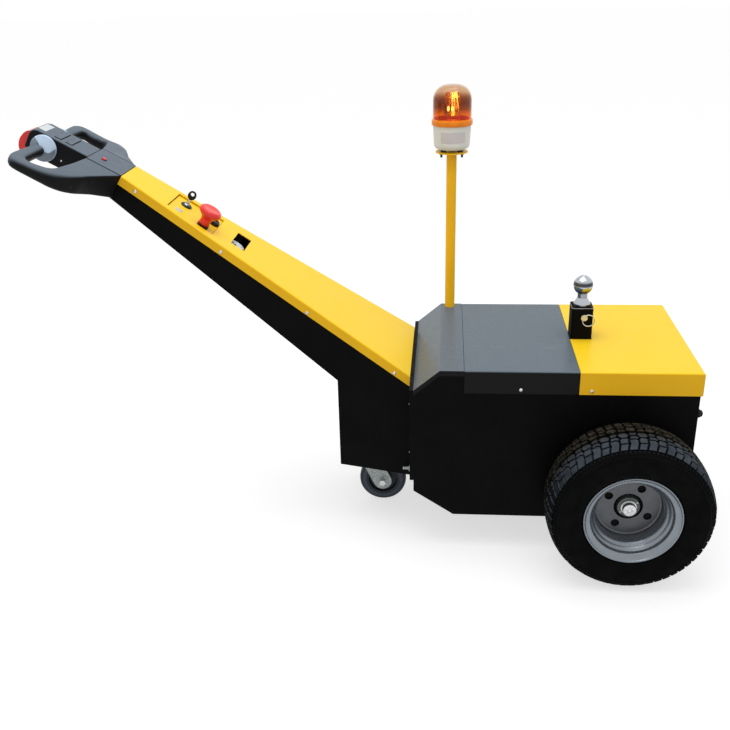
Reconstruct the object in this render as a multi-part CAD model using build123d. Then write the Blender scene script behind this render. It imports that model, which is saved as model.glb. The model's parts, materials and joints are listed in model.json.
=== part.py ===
from build123d import *
import os
from math import atan2, cos, radians, sin, tan

# Walk-behind electric tow tug, in millimetres, +X towards the tow ball, +Z up.
# X is measured from the drive axle while the pieces are made. Every piece is
# moved at the end, so that the origin lies on the floor under the middle.

# Drive wheels
tyre_diameter = 406.0
tyre_width = 165.0
tread_width = 132.0
bead_diameter = 204.0
rim_flange_diameter = 236.0
rim_width = 150.0
rim_wall = 3.5
rim_well_diameter = 171.0
rim_step = 8.0
bead_overlap = 10.0
disc_offset = 6.0
disc_thickness = 5.0
disc_centre_hole = 71.0
wheel_bolt_circle = 113.0
wheel_bolt_hole = 21.0
wheel_bolt_count = 4
wheel_bolt_phase = 60.0
wheel_body_gap = 16.0
hub_flange_diameter = 88.0
hub_flange_thickness = 10.0
hub_barrel_length = 34.0
hub_nose_diameter = 56.0
hub_nose_length = 11.0
axle_nut_diameter = 34.0
axle_nut_length = 13.0
axle_washer_diameter = 40.0
axle_washer_thickness = 2.0

# Body
body_width = 492.0
deck_height = 514.0
body_front_reach = 531.0
body_rear_reach = 170.0
floor_height = 99.0
sheet = 3.0
cover_sheet = 2.0
cover_side_gap = 0.5
cover_flange_height = 60.0
cover_bend_radius = 4.0
cover_rear_overhang = 5.0
cover_seam_gap = 1.0
cowl_chamfer_length = 66.0
cowl_front_height = 459.0
cowl_strip_length = 61.0
cowl_side_return = 14.0
rear_cover_length = 297.0
front_corner_length = 104.0
front_corner_height = 168.0
top_lip = 18.0
floor_opening_front = 75.0
floor_opening_rear = 85.0
floor_opening_width = 170.0
axle_hole_diameter = 90.0
front_plate_thickness = 10.0
front_plate_bottom = 200.0

# Drive unit
axle_tube_diameter = 76.0
axle_bearing_diameter = 84.0
axle_bearing_length = 30.0
gear_case_width = 96.0
gear_case_offset = -14.0
gear_case_axle_radius = 88.0
gear_case_motor_radius = 70.0
motor_forward = 42.0
motor_rise = 150.0
motor_diameter = 132.0
motor_length = 176.0
axle_bracket_thickness = 8.0
axle_bracket_length = 130.0
axle_shaft_diameter = 30.0
axle_end_gap = 2.0
shaft_engagement = 30.0

# Batteries
battery_length = 307.0
battery_width = 169.0
battery_height = 211.0
battery_gap = 6.0

# Steering arm and caster box
arm_slope = 34.08
arm_length = 884.0
arm_base_height = 467.0
arm_base_width = 351.0
arm_head_width = 127.0
arm_head_depth = 69.0
arm_head_overrun = 26.0
arm_flange_height = 25.0
arm_sheet = 3.0
box_length = 192.0
box_knee_height = 438.0
box_front_height = 187.0
box_rear_height = 174.0
caster_shelf_thickness = 6.0
fixing_bolt_diameter = 8.0
fixing_bolt_side = 186.0
fixing_bolt_height = 203.0
fixing_bolt_length = 20.0
fixing_washer_diameter = 17.0
fixing_washer_thickness = 4.0

# Panel in the arm cover, measured down the cover from its head end
recess_start = 132.0
recess_length = 136.0
recess_half_width_head = 60.0
recess_half_width_base = 70.0
recess_depth = 5.0
window_start = 318.0
window_length = 40.0
window_width = 98.0
gauge_diameter = 60.0
gauge_depth = 30.0
gauge_side = -8.0
gauge_set_back = 14.0
dial_diameter = 44.0
dial_thickness = 3.0
key_switch_place = 167.0
key_switch_side = 20.0
key_switch_diameter = 22.0
key_barrel_diameter = 16.0
stop_place = 234.0
stop_side = -44.0
stop_head_diameter = 60.0
stop_neck_diameter = 28.0
stop_ring_diameter = 31.0
stop_ring_height = 8.0
stop_height = 54.0
push_button_place = 252.0
push_button_side = 14.0
push_button_diameter = 22.0

# Tiller head
head_slope = 29.0
grip_diameter = 35.0
grip_place = 212.0
grip_drop = 42.5
loop_half_width = 236.0
console_start = 98.0
console_end = 254.0
console_width = 96.0
console_depth = 66.0
neck_half_width = 61.5
neck_depth = 66.0
top_plate_thickness = 4.0
throttle_place = 206.0
throttle_drop = 35.0
throttle_radius = 34.0
throttle_width = 20.0
throttle_gap = 1.0
belly_button_width = 58.0
belly_button_reach = 24.0
rocker_length = 18.0
rocker_starts = (148.0, 178.0)
rocker_width = 66.0
display_start = 221.0
display_length = 21.0
display_width = 60.0
lens_diameter = 9.0

# Caster
caster_wheel_diameter = 134.0
caster_wheel_width = 38.0
caster_core_diameter = 92.0
caster_axle_place = 628.0
caster_trail = 44.0
caster_plate_length = 104.0
caster_plate_width = 84.0
caster_plate_thickness = 6.0
caster_race_diameter = 70.0
caster_race_height = 19.5
caster_crown_gap = 0.5
caster_crown_thickness = 5.0
caster_leg_thickness = 4.0
caster_leg_gap = 5.0
caster_hub_clearance = 0.5
caster_leg_foot_radius = 26.0
caster_nut_length = 14.0
caster_bolt_diameter = 12.0
kingpin_diameter = 16.0
kingpin_head_diameter = 28.0
running_clearance = 0.05

# Beacon
pole_place = 440.0
pole_inset = 20.0
pole_diameter = 28.0
pole_top = 961.0
pole_wall = 2.5
beacon_plate_diameter = 88.0
beacon_plate_thickness = 3.0
beacon_foot_height = 7.0
beacon_foot_place = 26.0
beacon_base_bottom_diameter = 98.0
beacon_base_top_diameter = 103.0
beacon_base_rounding = 12.0
beacon_base_height = 71.5
beacon_rim_diameter = 111.0
beacon_rim_height = 15.0
beacon_dome_diameter = 104.0
beacon_dome_height = 90.5
beacon_wall = 2.5

# Tow hitch
post_size = 56.0
post_wall = 5.0
post_height = 86.0
cross_beam_height = 60.0
cross_beam_width = 90.0
cross_beam_drop = 70.0
insert_clearance = 0.5
ball_diameter = 51.0
ball_height = 142.0
ball_neck_diameter = 26.0
ball_collar_diameter = 44.0
ball_collar_height = 18.0
ball_shank = 17.0
pin_height = 62.0
pin_offset = 4.0
pin_diameter = 12.0
pin_head_diameter = 17.0
pin_ring_diameter = 31.0
pin_ring_wire = 3.0

# Rubber stops on the rear edges
buffer_diameter = 22.0
buffer_drop = 113.0
buffer_reach = 13.0

# Worked-out places
tyre_radius = tyre_diameter / 2
axle_height = tyre_radius
wheel_middle = body_width / 2 + wheel_body_gap + tyre_width / 2
body_front = -body_front_reach
body_rear = body_rear_reach
panel_half_width = body_width / 2 - cover_sheet - cover_side_gap
shelf_top = deck_height - cover_sheet
cowl_rear = body_front + cowl_chamfer_length + cowl_strip_length
cover_rear = body_rear + cover_rear_overhang
cover_split = cover_rear - rear_cover_length
arm_base = body_front - front_plate_thickness
box_front = arm_base - box_length
slope_cos = cos(radians(arm_slope))
slope_sin = sin(radians(arm_slope))
head_x = arm_base - arm_length * slope_cos
head_z = arm_base_height + arm_length * slope_sin
caster_axle_x = -caster_axle_place
swivel_x = caster_axle_x - caster_trail
caster_axle_height = caster_wheel_diameter / 2
caster_plate_top = box_front_height
caster_crown_height = caster_plate_top - caster_plate_thickness - caster_race_height - caster_crown_gap
belly_button_tip = console_end + belly_button_reach
axle_end = body_width / 2 - axle_end_gap
post_x = cover_split + post_size / 2
pole_side = body_width / 2 - pole_inset
beacon_seat = pole_top + beacon_plate_thickness + beacon_base_height
buffer_height = deck_height - buffer_drop
bracket_side = floor_opening_width / 2 + 2 * axle_bracket_thickness
buffer_side = panel_half_width - sheet - top_lip / 2
panel_holes = (
    (key_switch_place, key_switch_side, key_switch_diameter),
    (stop_place, stop_side, key_switch_diameter),
    (push_button_place, push_button_side, push_button_diameter),
)


def profile(points, half_width):
    """A solid from a side-view outline of (x, z) points, centred on the long axis."""
    face = make_face(Plane.XZ * Polyline(*points, close=True))
    return extrude(face, amount=half_width, both=True)


def plan(points, low, high):
    """A solid from a plan outline of (x, y) points between two heights."""
    face = make_face(Plane.XY.offset(low) * Polyline(*points, close=True))
    return extrude(face, amount=high - low)


def box_between(x0, x1, y0, y1, z0, z1):
    """A box given by its two corners."""
    centre = ((x0 + x1) / 2, (y0 + y1) / 2, (z0 + z1) / 2)
    return Pos(*centre) * Box(x1 - x0, y1 - y0, z1 - z0)


def across(x, y, z, radius, length):
    """A cylinder along Y, starting at y."""
    return Pos(x, y + length / 2, z) * Rot(90, 0, 0) * Cylinder(radius, length)


def upright(x, y, z, radius, length):
    """A cylinder along Z, starting at z."""
    return Pos(x, y, z + length / 2) * Cylinder(radius, length)


def turned(points, place):
    """A piece revolved from (radius, height) points about the Z axis of a place."""
    face = make_face(Plane.XZ * Polyline(*points, close=True))
    return place * revolve(face, Axis.Z)


def arm_point(down, out=0.0):
    """The (x, z) of a place on the arm cover, down from its head end, out from its top."""
    x = head_x + down * slope_cos + out * slope_sin
    z = head_z - down * slope_sin + out * slope_cos
    return (x, z)


def arm_half_width(x, inset=0.0):
    """Half of the arm's width at x, less an inset on each side."""
    widening = (arm_base_width - arm_head_width) / 2 / (arm_base - head_x)
    return arm_head_width / 2 + (x - head_x) * widening - inset


def arm_wedge(inset, end=0.0):
    """The space between the arm's two tapering sides, less an inset on each side."""
    x0 = head_x - arm_head_overrun * 3
    x1 = arm_base + end
    half0 = arm_half_width(x0, inset)
    half1 = arm_half_width(x1, inset)
    return plan([(x0, -half0), (x1, -half1), (x1, half1), (x0, half0)], 0, 2 * head_z)


def arm_place(down, side, out=0.0):
    """A place on the arm cover: its Z points out of the cover and its X down the slope."""
    x, z = arm_point(down, out)
    return Plane(origin=(x, side, z), x_dir=(slope_cos, 0, -slope_sin), z_dir=(slope_sin, 0, slope_cos))


def head_place(up, side, out=0.0):
    """A place on the tiller head: its Z points out of the top and its X to the grips."""
    run = cos(radians(head_slope))
    rise = sin(radians(head_slope))
    origin = (head_x - up * run + out * rise, side, head_z + up * rise + out * run)
    return Plane(origin=origin, x_dir=(-run, 0, rise), z_dir=(rise, 0, run))


def head_slab(points, low, high):
    """A slab on the tiller head from (up, side) points, between two heights off its top."""
    # The place's Y runs towards -Y of the machine, so sides are turned over here.
    face = make_face(Polyline(*[(u, -v) for u, v in points], close=True))
    slab = extrude(Pos(0, 0, low) * face, amount=high - low)
    return head_place(0, 0).location * slab


def body_tub():
    chamfer_rear = body_front + cowl_chamfer_length
    outline = [
        (body_front, front_corner_height),
        (body_front + front_corner_length, floor_height),
        (body_rear, floor_height),
        (body_rear, shelf_top),
        (chamfer_rear, shelf_top),
        (body_front, cowl_front_height - cover_sheet),
    ]
    tub = profile(outline, panel_half_width)
    outer_face = make_face(Plane.XZ * Polyline(*outline, close=True))
    inner_face = offset(outer_face, -sheet, kind=Kind.INTERSECTION)
    tub -= extrude(inner_face, amount=panel_half_width - sheet, both=True)
    mouth = panel_half_width - sheet - top_lip
    lip_front = chamfer_rear + top_lip
    lip_rear = body_rear - sheet - top_lip
    tub -= box_between(lip_front, lip_rear, -mouth, mouth, shelf_top - 2 * sheet, deck_height)
    panel_low = floor_height + sheet + top_lip
    panel_high = shelf_top - sheet - top_lip
    tub -= box_between(body_rear - 2 * sheet, body_rear + sheet, -mouth, mouth, panel_low, panel_high)
    opening = floor_opening_width / 2
    opening_top = floor_height + 2 * sheet
    tub -= box_between(-floor_opening_front, floor_opening_rear, -opening, opening, 0, opening_top)
    tub -= across(0, -body_width, axle_height, axle_hole_diameter / 2, 2 * body_width)
    return tub


def rear_panel():
    half = panel_half_width - sheet
    x1 = body_rear - sheet
    return box_between(x1 - sheet, x1, -half, half, floor_height + sheet, shelf_top - sheet)


def front_plate():
    half = panel_half_width
    return box_between(arm_base, body_front, -half, half, front_plate_bottom, cowl_front_height)


def front_cowl():
    bend = body_front + cowl_chamfer_length
    end = cowl_rear - cover_seam_gap
    top = [(body_front, cowl_front_height), (bend, deck_height), (end, deck_height)]
    under = [(end, shelf_top), (bend, shelf_top), (body_front, cowl_front_height - cover_sheet)]
    skin = profile(top + under, body_width / 2)
    low = [(end, deck_height - cowl_side_return), (bend, deck_height - cowl_side_return)]
    low += [(body_front, cowl_front_height - cowl_side_return)]
    skirt = profile(top + low, body_width / 2)
    skirt -= profile(top + low, body_width / 2 - cover_sheet)
    cowl = skin + skirt
    return cowl - upright(-pole_place, pole_side, shelf_top - 1, pole_diameter / 2, 2 * cover_sheet)


def folded_cover(x0, x1, closed_rear):
    """A deck cover folded down at both sides, and at its rear end where asked."""
    low = deck_height - cover_flange_height
    half = body_width / 2
    outer = box_between(x0, x1, -half, half, low, deck_height)
    bends = outer.edges().filter_by(Axis.X).group_by(Axis.Z)[-1]
    if closed_rear:
        rear_top = outer.edges().filter_by(Axis.Y).group_by(Axis.Z)[-1].sort_by(Axis.X)[-1:]
        bends = bends + rear_top
    outer = fillet(bends, cover_bend_radius)
    inner_end = x1 - cover_sheet if closed_rear else x1 + sheet
    inner_half = half - cover_sheet
    inner = box_between(x0 - sheet, inner_end, -inner_half, inner_half, low - sheet, shelf_top)
    return outer - inner


def middle_cover():
    return folded_cover(cowl_rear, cover_split - cover_seam_gap, False)


def rear_cover():
    cover = folded_cover(cover_split, cover_rear, True)
    half = post_size / 2 + insert_clearance
    return cover - box_between(post_x - half, post_x + half, -half, half, 0, deck_height + sheet)


def arm_frame():
    top_end = arm_base_height - cover_sheet / slope_cos
    outline = [
        arm_point(-arm_head_overrun, -cover_sheet),
        (arm_base, top_end),
        (arm_base, box_rear_height),
        (box_front, box_front_height),
        (box_front, box_knee_height),
        arm_point(-arm_head_overrun, -arm_head_depth),
    ]
    side_inset = cover_sheet + cover_side_gap
    arm = profile(outline, arm_base_width) & arm_wedge(side_inset)
    outer_face = make_face(Plane.XZ * Polyline(*outline, close=True))
    inner_face = offset(outer_face, -arm_sheet, kind=Kind.INTERSECTION)
    inner = extrude(inner_face, amount=arm_base_width, both=True)
    mouth_start = arm_sheet - arm_head_overrun
    above = 2 * arm_flange_height
    inner += profile(
        [
            arm_point(mouth_start, -2 * cover_sheet - arm_sheet),
            arm_point(mouth_start, above),
            (arm_base, arm_base_height + above),
            (arm_base, top_end - 2 * arm_sheet),
        ],
        arm_base_width,
    )
    arm -= head_slab(rectangle(0, 4 * arm_head_overrun, arm_head_width), -top_plate_thickness, arm_head_depth)
    bottom_low = box_rear_height - arm_sheet
    bottom_high = box_front_height + 2 * arm_sheet
    inner += box_between(
        box_front + arm_sheet, arm_base, -arm_base_width, arm_base_width, bottom_low, bottom_high
    )
    inner += box_between(
        arm_base - 2 * arm_sheet, arm_base, -arm_base_width, arm_base_width, bottom_low, arm_base_height
    )
    arm -= inner & arm_wedge(side_inset + arm_sheet)
    shelf = box_between(
        box_front + arm_sheet,
        arm_base,
        -arm_base_width,
        arm_base_width,
        caster_plate_top,
        caster_plate_top + caster_shelf_thickness,
    )
    return arm + (shelf & arm_wedge(side_inset + arm_sheet))


def arm_cover():
    lower = arm_flange_height / slope_cos
    outline = [
        arm_point(0),
        (arm_base, arm_base_height),
        (arm_base, arm_base_height - lower),
        arm_point(0, -arm_flange_height),
    ]
    cover = profile(outline, arm_base_width) & arm_wedge(0)
    long_edges = [e for e in cover.edges() if e.length > arm_length * 0.9]
    top_edges = sorted(long_edges, key=lambda e: e.center().Z)[-2:]
    cover = fillet(top_edges, cover_bend_radius)
    hollow = [
        arm_point(-arm_flange_height, -cover_sheet),
        (arm_base + sheet, arm_base_height - cover_sheet / slope_cos - sheet * tan(radians(arm_slope))),
        (arm_base + sheet, arm_base_height - 2 * lower),
        arm_point(-arm_flange_height, -2 * arm_flange_height),
    ]
    cover -= profile(hollow, arm_base_width) & arm_wedge(cover_sheet, sheet)
    cover += recess_block(cover_sheet, -recess_depth - cover_sheet, -cover_sheet / 2)
    cover -= recess_block(0, -recess_depth, cover_sheet)
    window = arm_place(window_start + window_length / 2, 0).location
    cover -= window * Box(window_length, window_width, 4 * cover_sheet)
    for place, side, diameter in panel_holes:
        hole = arm_place(place, side, -recess_depth).location
        cover -= hole * Cylinder(diameter / 2 + insert_clearance, 6 * cover_sheet)
    return cover


def recess_block(margin, low, high):
    """The tapered sunk panel of the arm cover, grown by a margin, between two heights."""
    start = -margin
    end = recess_length + margin
    half0 = recess_half_width_head + margin
    half1 = recess_half_width_base + margin
    face = make_face(Polyline((start, -half0), (end, -half1), (end, half1), (start, half0), close=True))
    block = extrude(Pos(0, 0, low) * face, amount=high - low)
    return arm_place(recess_start, 0).location * block


def key_switch():
    """The switch's black collar round the key barrel."""
    place = arm_place(key_switch_place, key_switch_side, -recess_depth).location
    bore = key_barrel_diameter / 2
    body = key_switch_diameter / 2 - 1
    collar = key_switch_diameter / 2 + 4
    points = [(bore, -26), (body, -26), (body, 0), (collar, 0), (collar, 2), (collar - 3, 5), (bore, 5)]
    return turned(points, place)


def key_barrel():
    place = arm_place(key_switch_place, key_switch_side, -recess_depth).location
    radius = key_barrel_diameter / 2
    barrel = turned([(0, -30), (radius, -30), (radius, 5), (radius - 1.5, 6.5), (0, 6.5)], place)
    return barrel - place * Pos(0, 0, 5) * Box(9, 2.6, 6)


def key():
    """The key with its oval bow, standing in the barrel."""
    place = arm_place(key_switch_place, key_switch_side, -recess_depth).location
    blade = Pos(0, 0, 12) * Box(8, 2, 20)
    bow = Pos(0, 0, 33) * Rot(90, 0, 0) * extrude(Ellipse(11, 12.5), amount=2.5, both=True)
    bow -= Pos(0, 0, 40) * Rot(90, 0, 0) * Cylinder(2.6, 8)
    return place * (blade + bow)


def stop_base():
    """The black ring that holds the stop button to the panel."""
    place = arm_place(stop_place, stop_side, -recess_depth).location
    ring = stop_ring_diameter / 2
    body = key_switch_diameter / 2 - 0.5
    top = stop_ring_height
    return turned([(0, -34), (body, -34), (body, 0), (ring, 0), (ring, top), (0, top)], place)


def emergency_stop():
    """The red mushroom head on its neck."""
    place = arm_place(stop_place, stop_side, -recess_depth).location
    head = stop_head_diameter / 2
    neck = stop_neck_diameter / 2
    top = stop_height
    points = [
        (0, stop_ring_height), (neck, stop_ring_height), (neck, top - 32), (neck + 3, top - 26),
        (head * 0.8, top - 19), (head - 1, top - 14), (head, top - 10), (head, top - 7),
        (head - 2, top - 3), (head * 0.78, top), (head * 0.4, top - 1.5), (0, top - 2),
    ]
    return turned(points, place)


def push_button():
    place = arm_place(push_button_place, push_button_side, -recess_depth).location
    outer = push_button_diameter / 2 + 3
    points = [
        (0, -26), (push_button_diameter / 2 - 1, -26), (push_button_diameter / 2 - 1, 0),
        (outer, 0), (outer, 8), (outer - 2, 11), (outer - 6, 11), (outer - 6, 9), (0, 9),
    ]
    return turned(points, place)


def gauge_place():
    """Where the gauge sits under the window, its Z out of the arm cover."""
    return arm_place(window_start + window_length / 2 - 9, gauge_side, -cover_sheet).location


def charge_gauge():
    """The gauge's case, set back under the window, with the strap that carries it."""
    radius = gauge_diameter / 2
    face = -gauge_set_back
    points = [
        (0, -gauge_depth - 14), (radius - 6, -gauge_depth - 14), (radius - 6, face - 6), (radius, face - 6),
        (radius, face), (radius - 3, face + 1), (radius - 4, face - 2), (0, face - 2),
    ]
    gauge = turned(points, gauge_place())
    strap_half = window_width / 2 + 8
    back = face - 9
    strap = Pos(0, -gauge_side, back) * Box(16, 2 * strap_half, 2)
    for side in (-1, 1):
        strap += Pos(0, side * (strap_half - 1) - gauge_side, back / 2) * Box(16, 2, -back)
    return gauge + gauge_place() * strap


def gauge_dial():
    """The gauge's pale dial."""
    face = -gauge_set_back - 2
    top = face + dial_thickness
    radius = dial_diameter / 2
    return turned([(0, face), (radius, face), (radius, top), (0, top)], gauge_place())


def head_section(side):
    """A plane across the tiller head at a side distance: X up the head, Y out of its top."""
    place = head_place(0, side)
    return Plane(origin=place.origin, x_dir=place.x_dir, z_dir=(0, 1, 0))


def head_cross(up):
    """A plane across the tiller head at a distance up it: X to the side, Y out of its top."""
    place = head_place(up, 0)
    return Plane(origin=place.origin, x_dir=(0, 1, 0), z_dir=-place.x_dir)


def four_corners(start, end, low, high):
    """A four-cornered face between two places and two heights."""
    return make_face(Polyline((start, low), (start, high), (end, high), (end, low), close=True))


def loop_wing(side):
    """The deep web between the neck and a hand loop, with its slanting outer wall."""
    wide = loop_half_width
    sections = (
        (neck_half_width, 0, console_start, -neck_depth, -2),
        (wide * 0.5, 37, console_start + 7, -62, -6),
        (wide * 0.76, 63, console_start + 21, -60, -9),
        (wide * 0.86, 82, console_start + 28, -58, -15),
        (wide * 0.9, 100, console_start + 22, -56, -24),
    )
    faces = []
    for across_head, start, end, low, high in sections:
        faces.append(head_section(side * across_head) * four_corners(start, end, low, high))
    return loft(faces, ruled=True)


def loop_ramp(side):
    """The part of a hand loop that thickens from its round bar to the web."""
    wide = loop_half_width
    low = -grip_drop - grip_diameter / 2
    high = -grip_drop + grip_diameter / 2
    root = (side * (wide - 46), side * (wide - 28), low + 5, -17)
    tip = (side * (wide - 44), side * (wide - 16), low + 6, high - 3)
    root_face = head_cross(console_start + 20) * four_corners(*root)
    tip_face = head_cross(grip_place - 30) * four_corners(*tip)
    return loft([root_face, tip_face])


def handle_frame():
    """The moulded tiller head with a closed hand loop on each side."""
    grip_low = -grip_drop - grip_diameter / 2
    grip_high = -grip_drop + grip_diameter / 2
    grip_front = grip_place + grip_diameter / 2
    grip_back = grip_place - grip_diameter / 2
    wide = loop_half_width
    half = [
        (2, neck_half_width), (38, wide * 0.5), (64, wide * 0.75), (84, wide * 0.86), (130, wide - 15),
        (grip_back, wide), (grip_front - 15, wide - 3), (grip_front - 3, wide - 16), (grip_front, wide - 42),
    ]
    ring = head_slab(half + [(u, -v) for u, v in reversed(half)], grip_low, grip_high)
    side = console_width / 2
    bar_inside = wide - 48
    hole = [
        (grip_back, side), (grip_back, bar_inside - 12), (grip_back - 6, bar_inside), (130, bar_inside),
        (120, bar_inside - 6), (console_start - 2, neck_half_width + 7), (console_start, side),
    ]
    ring -= head_slab(hole, grip_low - sheet, grip_high + sheet)
    ring -= head_slab([(u, -v) for u, v in hole], grip_low - sheet, grip_high + sheet)
    ring = fillet(flat_edges(ring), grip_diameter * 0.36)
    neck_plan = rectangle(-arm_head_overrun + 2, console_start, neck_half_width)
    neck = head_slab(neck_plan, -neck_depth, -top_plate_thickness)
    frame = ring + neck
    for direction in (1, -1):
        frame += loop_wing(direction)
        frame += loop_ramp(direction)
    slot = side + throttle_width + 2 * throttle_gap
    deep = -2 * console_depth
    frame -= head_slab(rectangle(console_start, 2 * console_end, side + throttle_gap), deep, sheet)
    frame -= head_slab(rectangle(console_start + 20, 2 * console_end, slot), deep, sheet)
    under = arm_half_width(head_x) + arm_sheet
    return frame - arm_top_space(under)


def arm_top_space(half_width):
    """The space that the upper end of the arm fills inside the tiller head."""
    start = -arm_head_overrun - 1
    outline = [
        arm_point(start, 0), arm_point(arm_head_overrun * 3, 0),
        arm_point(arm_head_overrun * 3, -arm_head_depth - 40), arm_point(start, -arm_head_depth - 0.5),
    ]
    return profile(outline, half_width)


def rectangle(start, end, half_width):
    """Corners of a rectangle on the tiller head, centred on its long axis."""
    return [(start, -half_width), (end, -half_width), (end, half_width), (start, half_width)]


def flat_edges(ring):
    """The edges of the two flat faces of a slab on the tiller head."""
    normal = head_place(0, 0).z_dir
    edges = ShapeList()
    for face in ring.faces():
        if abs(abs(face.normal_at().dot(normal)) - 1) < 1e-6:
            edges += face.edges()
    return edges


def handle_top_plate():
    """The flat lid over the neck, with a thin seam to the web at each side."""
    return head_slab(rectangle(2, console_start - 1, neck_half_width - 1.5), -top_plate_thickness, 0)


def control_console():
    """The box between the hand loops, with its rounded nose."""
    side = console_width / 2
    nose = console_end
    outline = [
        (console_start, 0), (nose - 18, 0), (nose - 7, -4), (nose - 1, -12), (nose, -24),
        (nose, -console_depth + 14), (nose - 10, -console_depth), (console_start, -console_depth),
    ]
    plane = head_section(0)
    block = extrude(plane * make_face(Polyline(*outline, close=True)), amount=side, both=True)
    edges = ShapeList()
    for face in block.faces():
        if abs(abs(face.normal_at().Y) - 1) < 1e-6:
            edges += face.edges()
    block = fillet(edges, 4)
    pocket = belly_button_width / 2 + 1
    block -= head_slab(rectangle(nose - 14, nose + 10, pocket), -console_depth - 1, -14)
    for start in rocker_starts:
        block -= head_slab(rectangle(start, start + rocker_length, rocker_width / 2), -3, 3)
    block -= head_slab(rectangle(display_start, display_start + display_length, display_width / 2), -1.5, 3)
    return block


def rocker_buttons():
    buttons = None
    for start in rocker_starts:
        points = rectangle(start + 1, start + rocker_length - 1, rocker_width / 2 - 1)
        button = fillet(flat_edges(head_slab(points, -3, 1.5)), 1)
        buttons = button if buttons is None else buttons + button
    return buttons


def display_plate():
    points = rectangle(display_start + 0.5, display_start + display_length - 0.5, display_width / 2 - 0.5)
    return head_slab(points, -1.5, 0.3)


def signal_lens():
    place = head_place(66, -14).location
    radius = lens_diameter / 2
    return turned([(0, 0), (radius, 0), (radius, 2), (radius * 0.7, 4), (0, 5)], place)


def throttle_paddles():
    """The two round thumb paddles, one at each side of the console, with a raised crease."""
    paddles = None
    side = console_width / 2 + throttle_gap
    radius = throttle_radius
    for direction in (1, -1):
        plane = head_section(direction * side)
        middle = plane.from_local_coords((throttle_place, -throttle_drop, 0))
        turn = Rot(-90, 0, 0) if direction > 0 else Rot(90, 0, 0)
        place = Location(middle) * turn
        edge = [(0, 0), (radius - 1, 0), (radius, 2), (radius - 1, 6), (radius - 9, 12), (0, 13)]
        disc = turned(edge, place)
        crease = [(-0.5, -0.7), (-0.8, 0), (-0.06, 0.47), (0.6, 0.5), (0.59, -0.47), (0, -0.8)]
        corners = [(throttle_place + radius * u, -throttle_drop + radius * n) for u, n in crease]
        raised = plane * make_face(Polyline(*corners, close=True))
        paddle = disc + extrude(raised, amount=direction * (throttle_width - 3), taper=24)
        paddles = paddle if paddles is None else paddles + paddle
    return paddles


def belly_button():
    """The tall rounded safety button on the console's nose."""
    half = belly_button_width / 2
    nose = console_end
    outline = [
        (nose - 13, -15), (nose + 4, -17), (nose + 15, -26), (nose + 21, -38), (belly_button_tip, -52),
        (nose + 21, -66), (nose + 12, -78), (nose - 2, -86), (nose - 13, -86),
    ]
    face = head_section(0) * make_face(Polyline(*outline, close=True))
    button = extrude(face, amount=half, both=True)
    edges = ShapeList()
    for face in button.faces():
        if abs(abs(face.normal_at().Y) - 1) < 1e-6:
            edges += face.edges()
    return fillet(edges, 6)


def tow_ball():
    place = Location((post_x, 0, deck_height + post_height))
    base = 4.0
    centre = ball_height - post_height
    radius = ball_diameter / 2
    neck = ball_neck_diameter / 2
    join = centre - (radius ** 2 - neck ** 2) ** 0.5
    cone = base + ball_collar_height
    collar = ball_collar_diameter / 2
    shank = neck * 0.8
    points = [(0, -ball_shank), (shank, -ball_shank), (shank, base), (collar, base), (collar, base + 3)]
    points += [(neck, cone), (neck, join), (0, join)]
    stem = turned(points, place)
    ball = place * Pos(0, 0, centre) * Sphere(radius)
    ball -= place * Pos(0, 0, centre + radius + 8.5) * Box(radius, radius, 20)
    return stem + ball


def hitch_post():
    low = deck_height - cross_beam_drop
    high = deck_height + post_height
    half = post_size / 2
    post = box_between(post_x - half, post_x + half, -half, half, low, high)
    post = fillet(post.edges().filter_by(Axis.Z), 7)
    bore = half - post_wall
    hollow = box_between(post_x - bore, post_x + bore, -bore, bore, low - 1, high + 1)
    post -= fillet(hollow.edges().filter_by(Axis.Z), 3)
    beam_half = cross_beam_width / 2
    wide = panel_half_width - sheet
    beam = box_between(post_x - beam_half, post_x + beam_half, -wide, wide, low - cross_beam_height, low)
    skin = 2 * sheet
    beam -= box_between(
        post_x - beam_half + skin, post_x + beam_half - skin, -wide, wide, low - cross_beam_height, low - skin
    )
    return post + beam - pin_bore()


def ball_insert():
    half = post_size / 2 - post_wall - insert_clearance
    low = deck_height
    high = deck_height + post_height
    block = box_between(post_x - half, post_x + half, -half, half, low, high + 4)
    block = fillet(block.edges().filter_by(Axis.Z), 4)
    block = chamfer(block.faces().sort_by(Axis.Z)[-1].edges(), 3)
    block -= upright(post_x, 0, high - ball_shank, ball_neck_diameter * 0.4, post_height)
    return block - pin_bore()


def pin_bore():
    """The hole for the pin, right through the post."""
    height = deck_height + pin_height
    return across(post_x + pin_offset, -post_size, height, pin_diameter / 2, 2 * post_size)


def hitch_pin():
    x = post_x + pin_offset
    z = deck_height + pin_height
    start = -post_size / 2 - 7
    pin = across(x, start, z, pin_diameter / 2, post_size + 20)
    pin += across(x, start, z, pin_head_diameter / 2, 6)
    ring_centre = (x + pin_ring_diameter / 2 - 4, start + 2.5, z - 8)
    return pin + Pos(*ring_centre) * Rot(90, 0, 0) * Torus(pin_ring_diameter / 2, pin_ring_wire / 2)


def beacon_pole():
    low = shelf_top
    pole = upright(-pole_place, pole_side, low, pole_diameter / 2, pole_top - low)
    pole -= upright(-pole_place, pole_side, low - 1, pole_diameter / 2 - pole_wall, pole_top - low - 8)
    plate = upright(-pole_place, pole_side, pole_top, beacon_plate_diameter / 2, beacon_plate_thickness)
    return pole + plate


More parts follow.
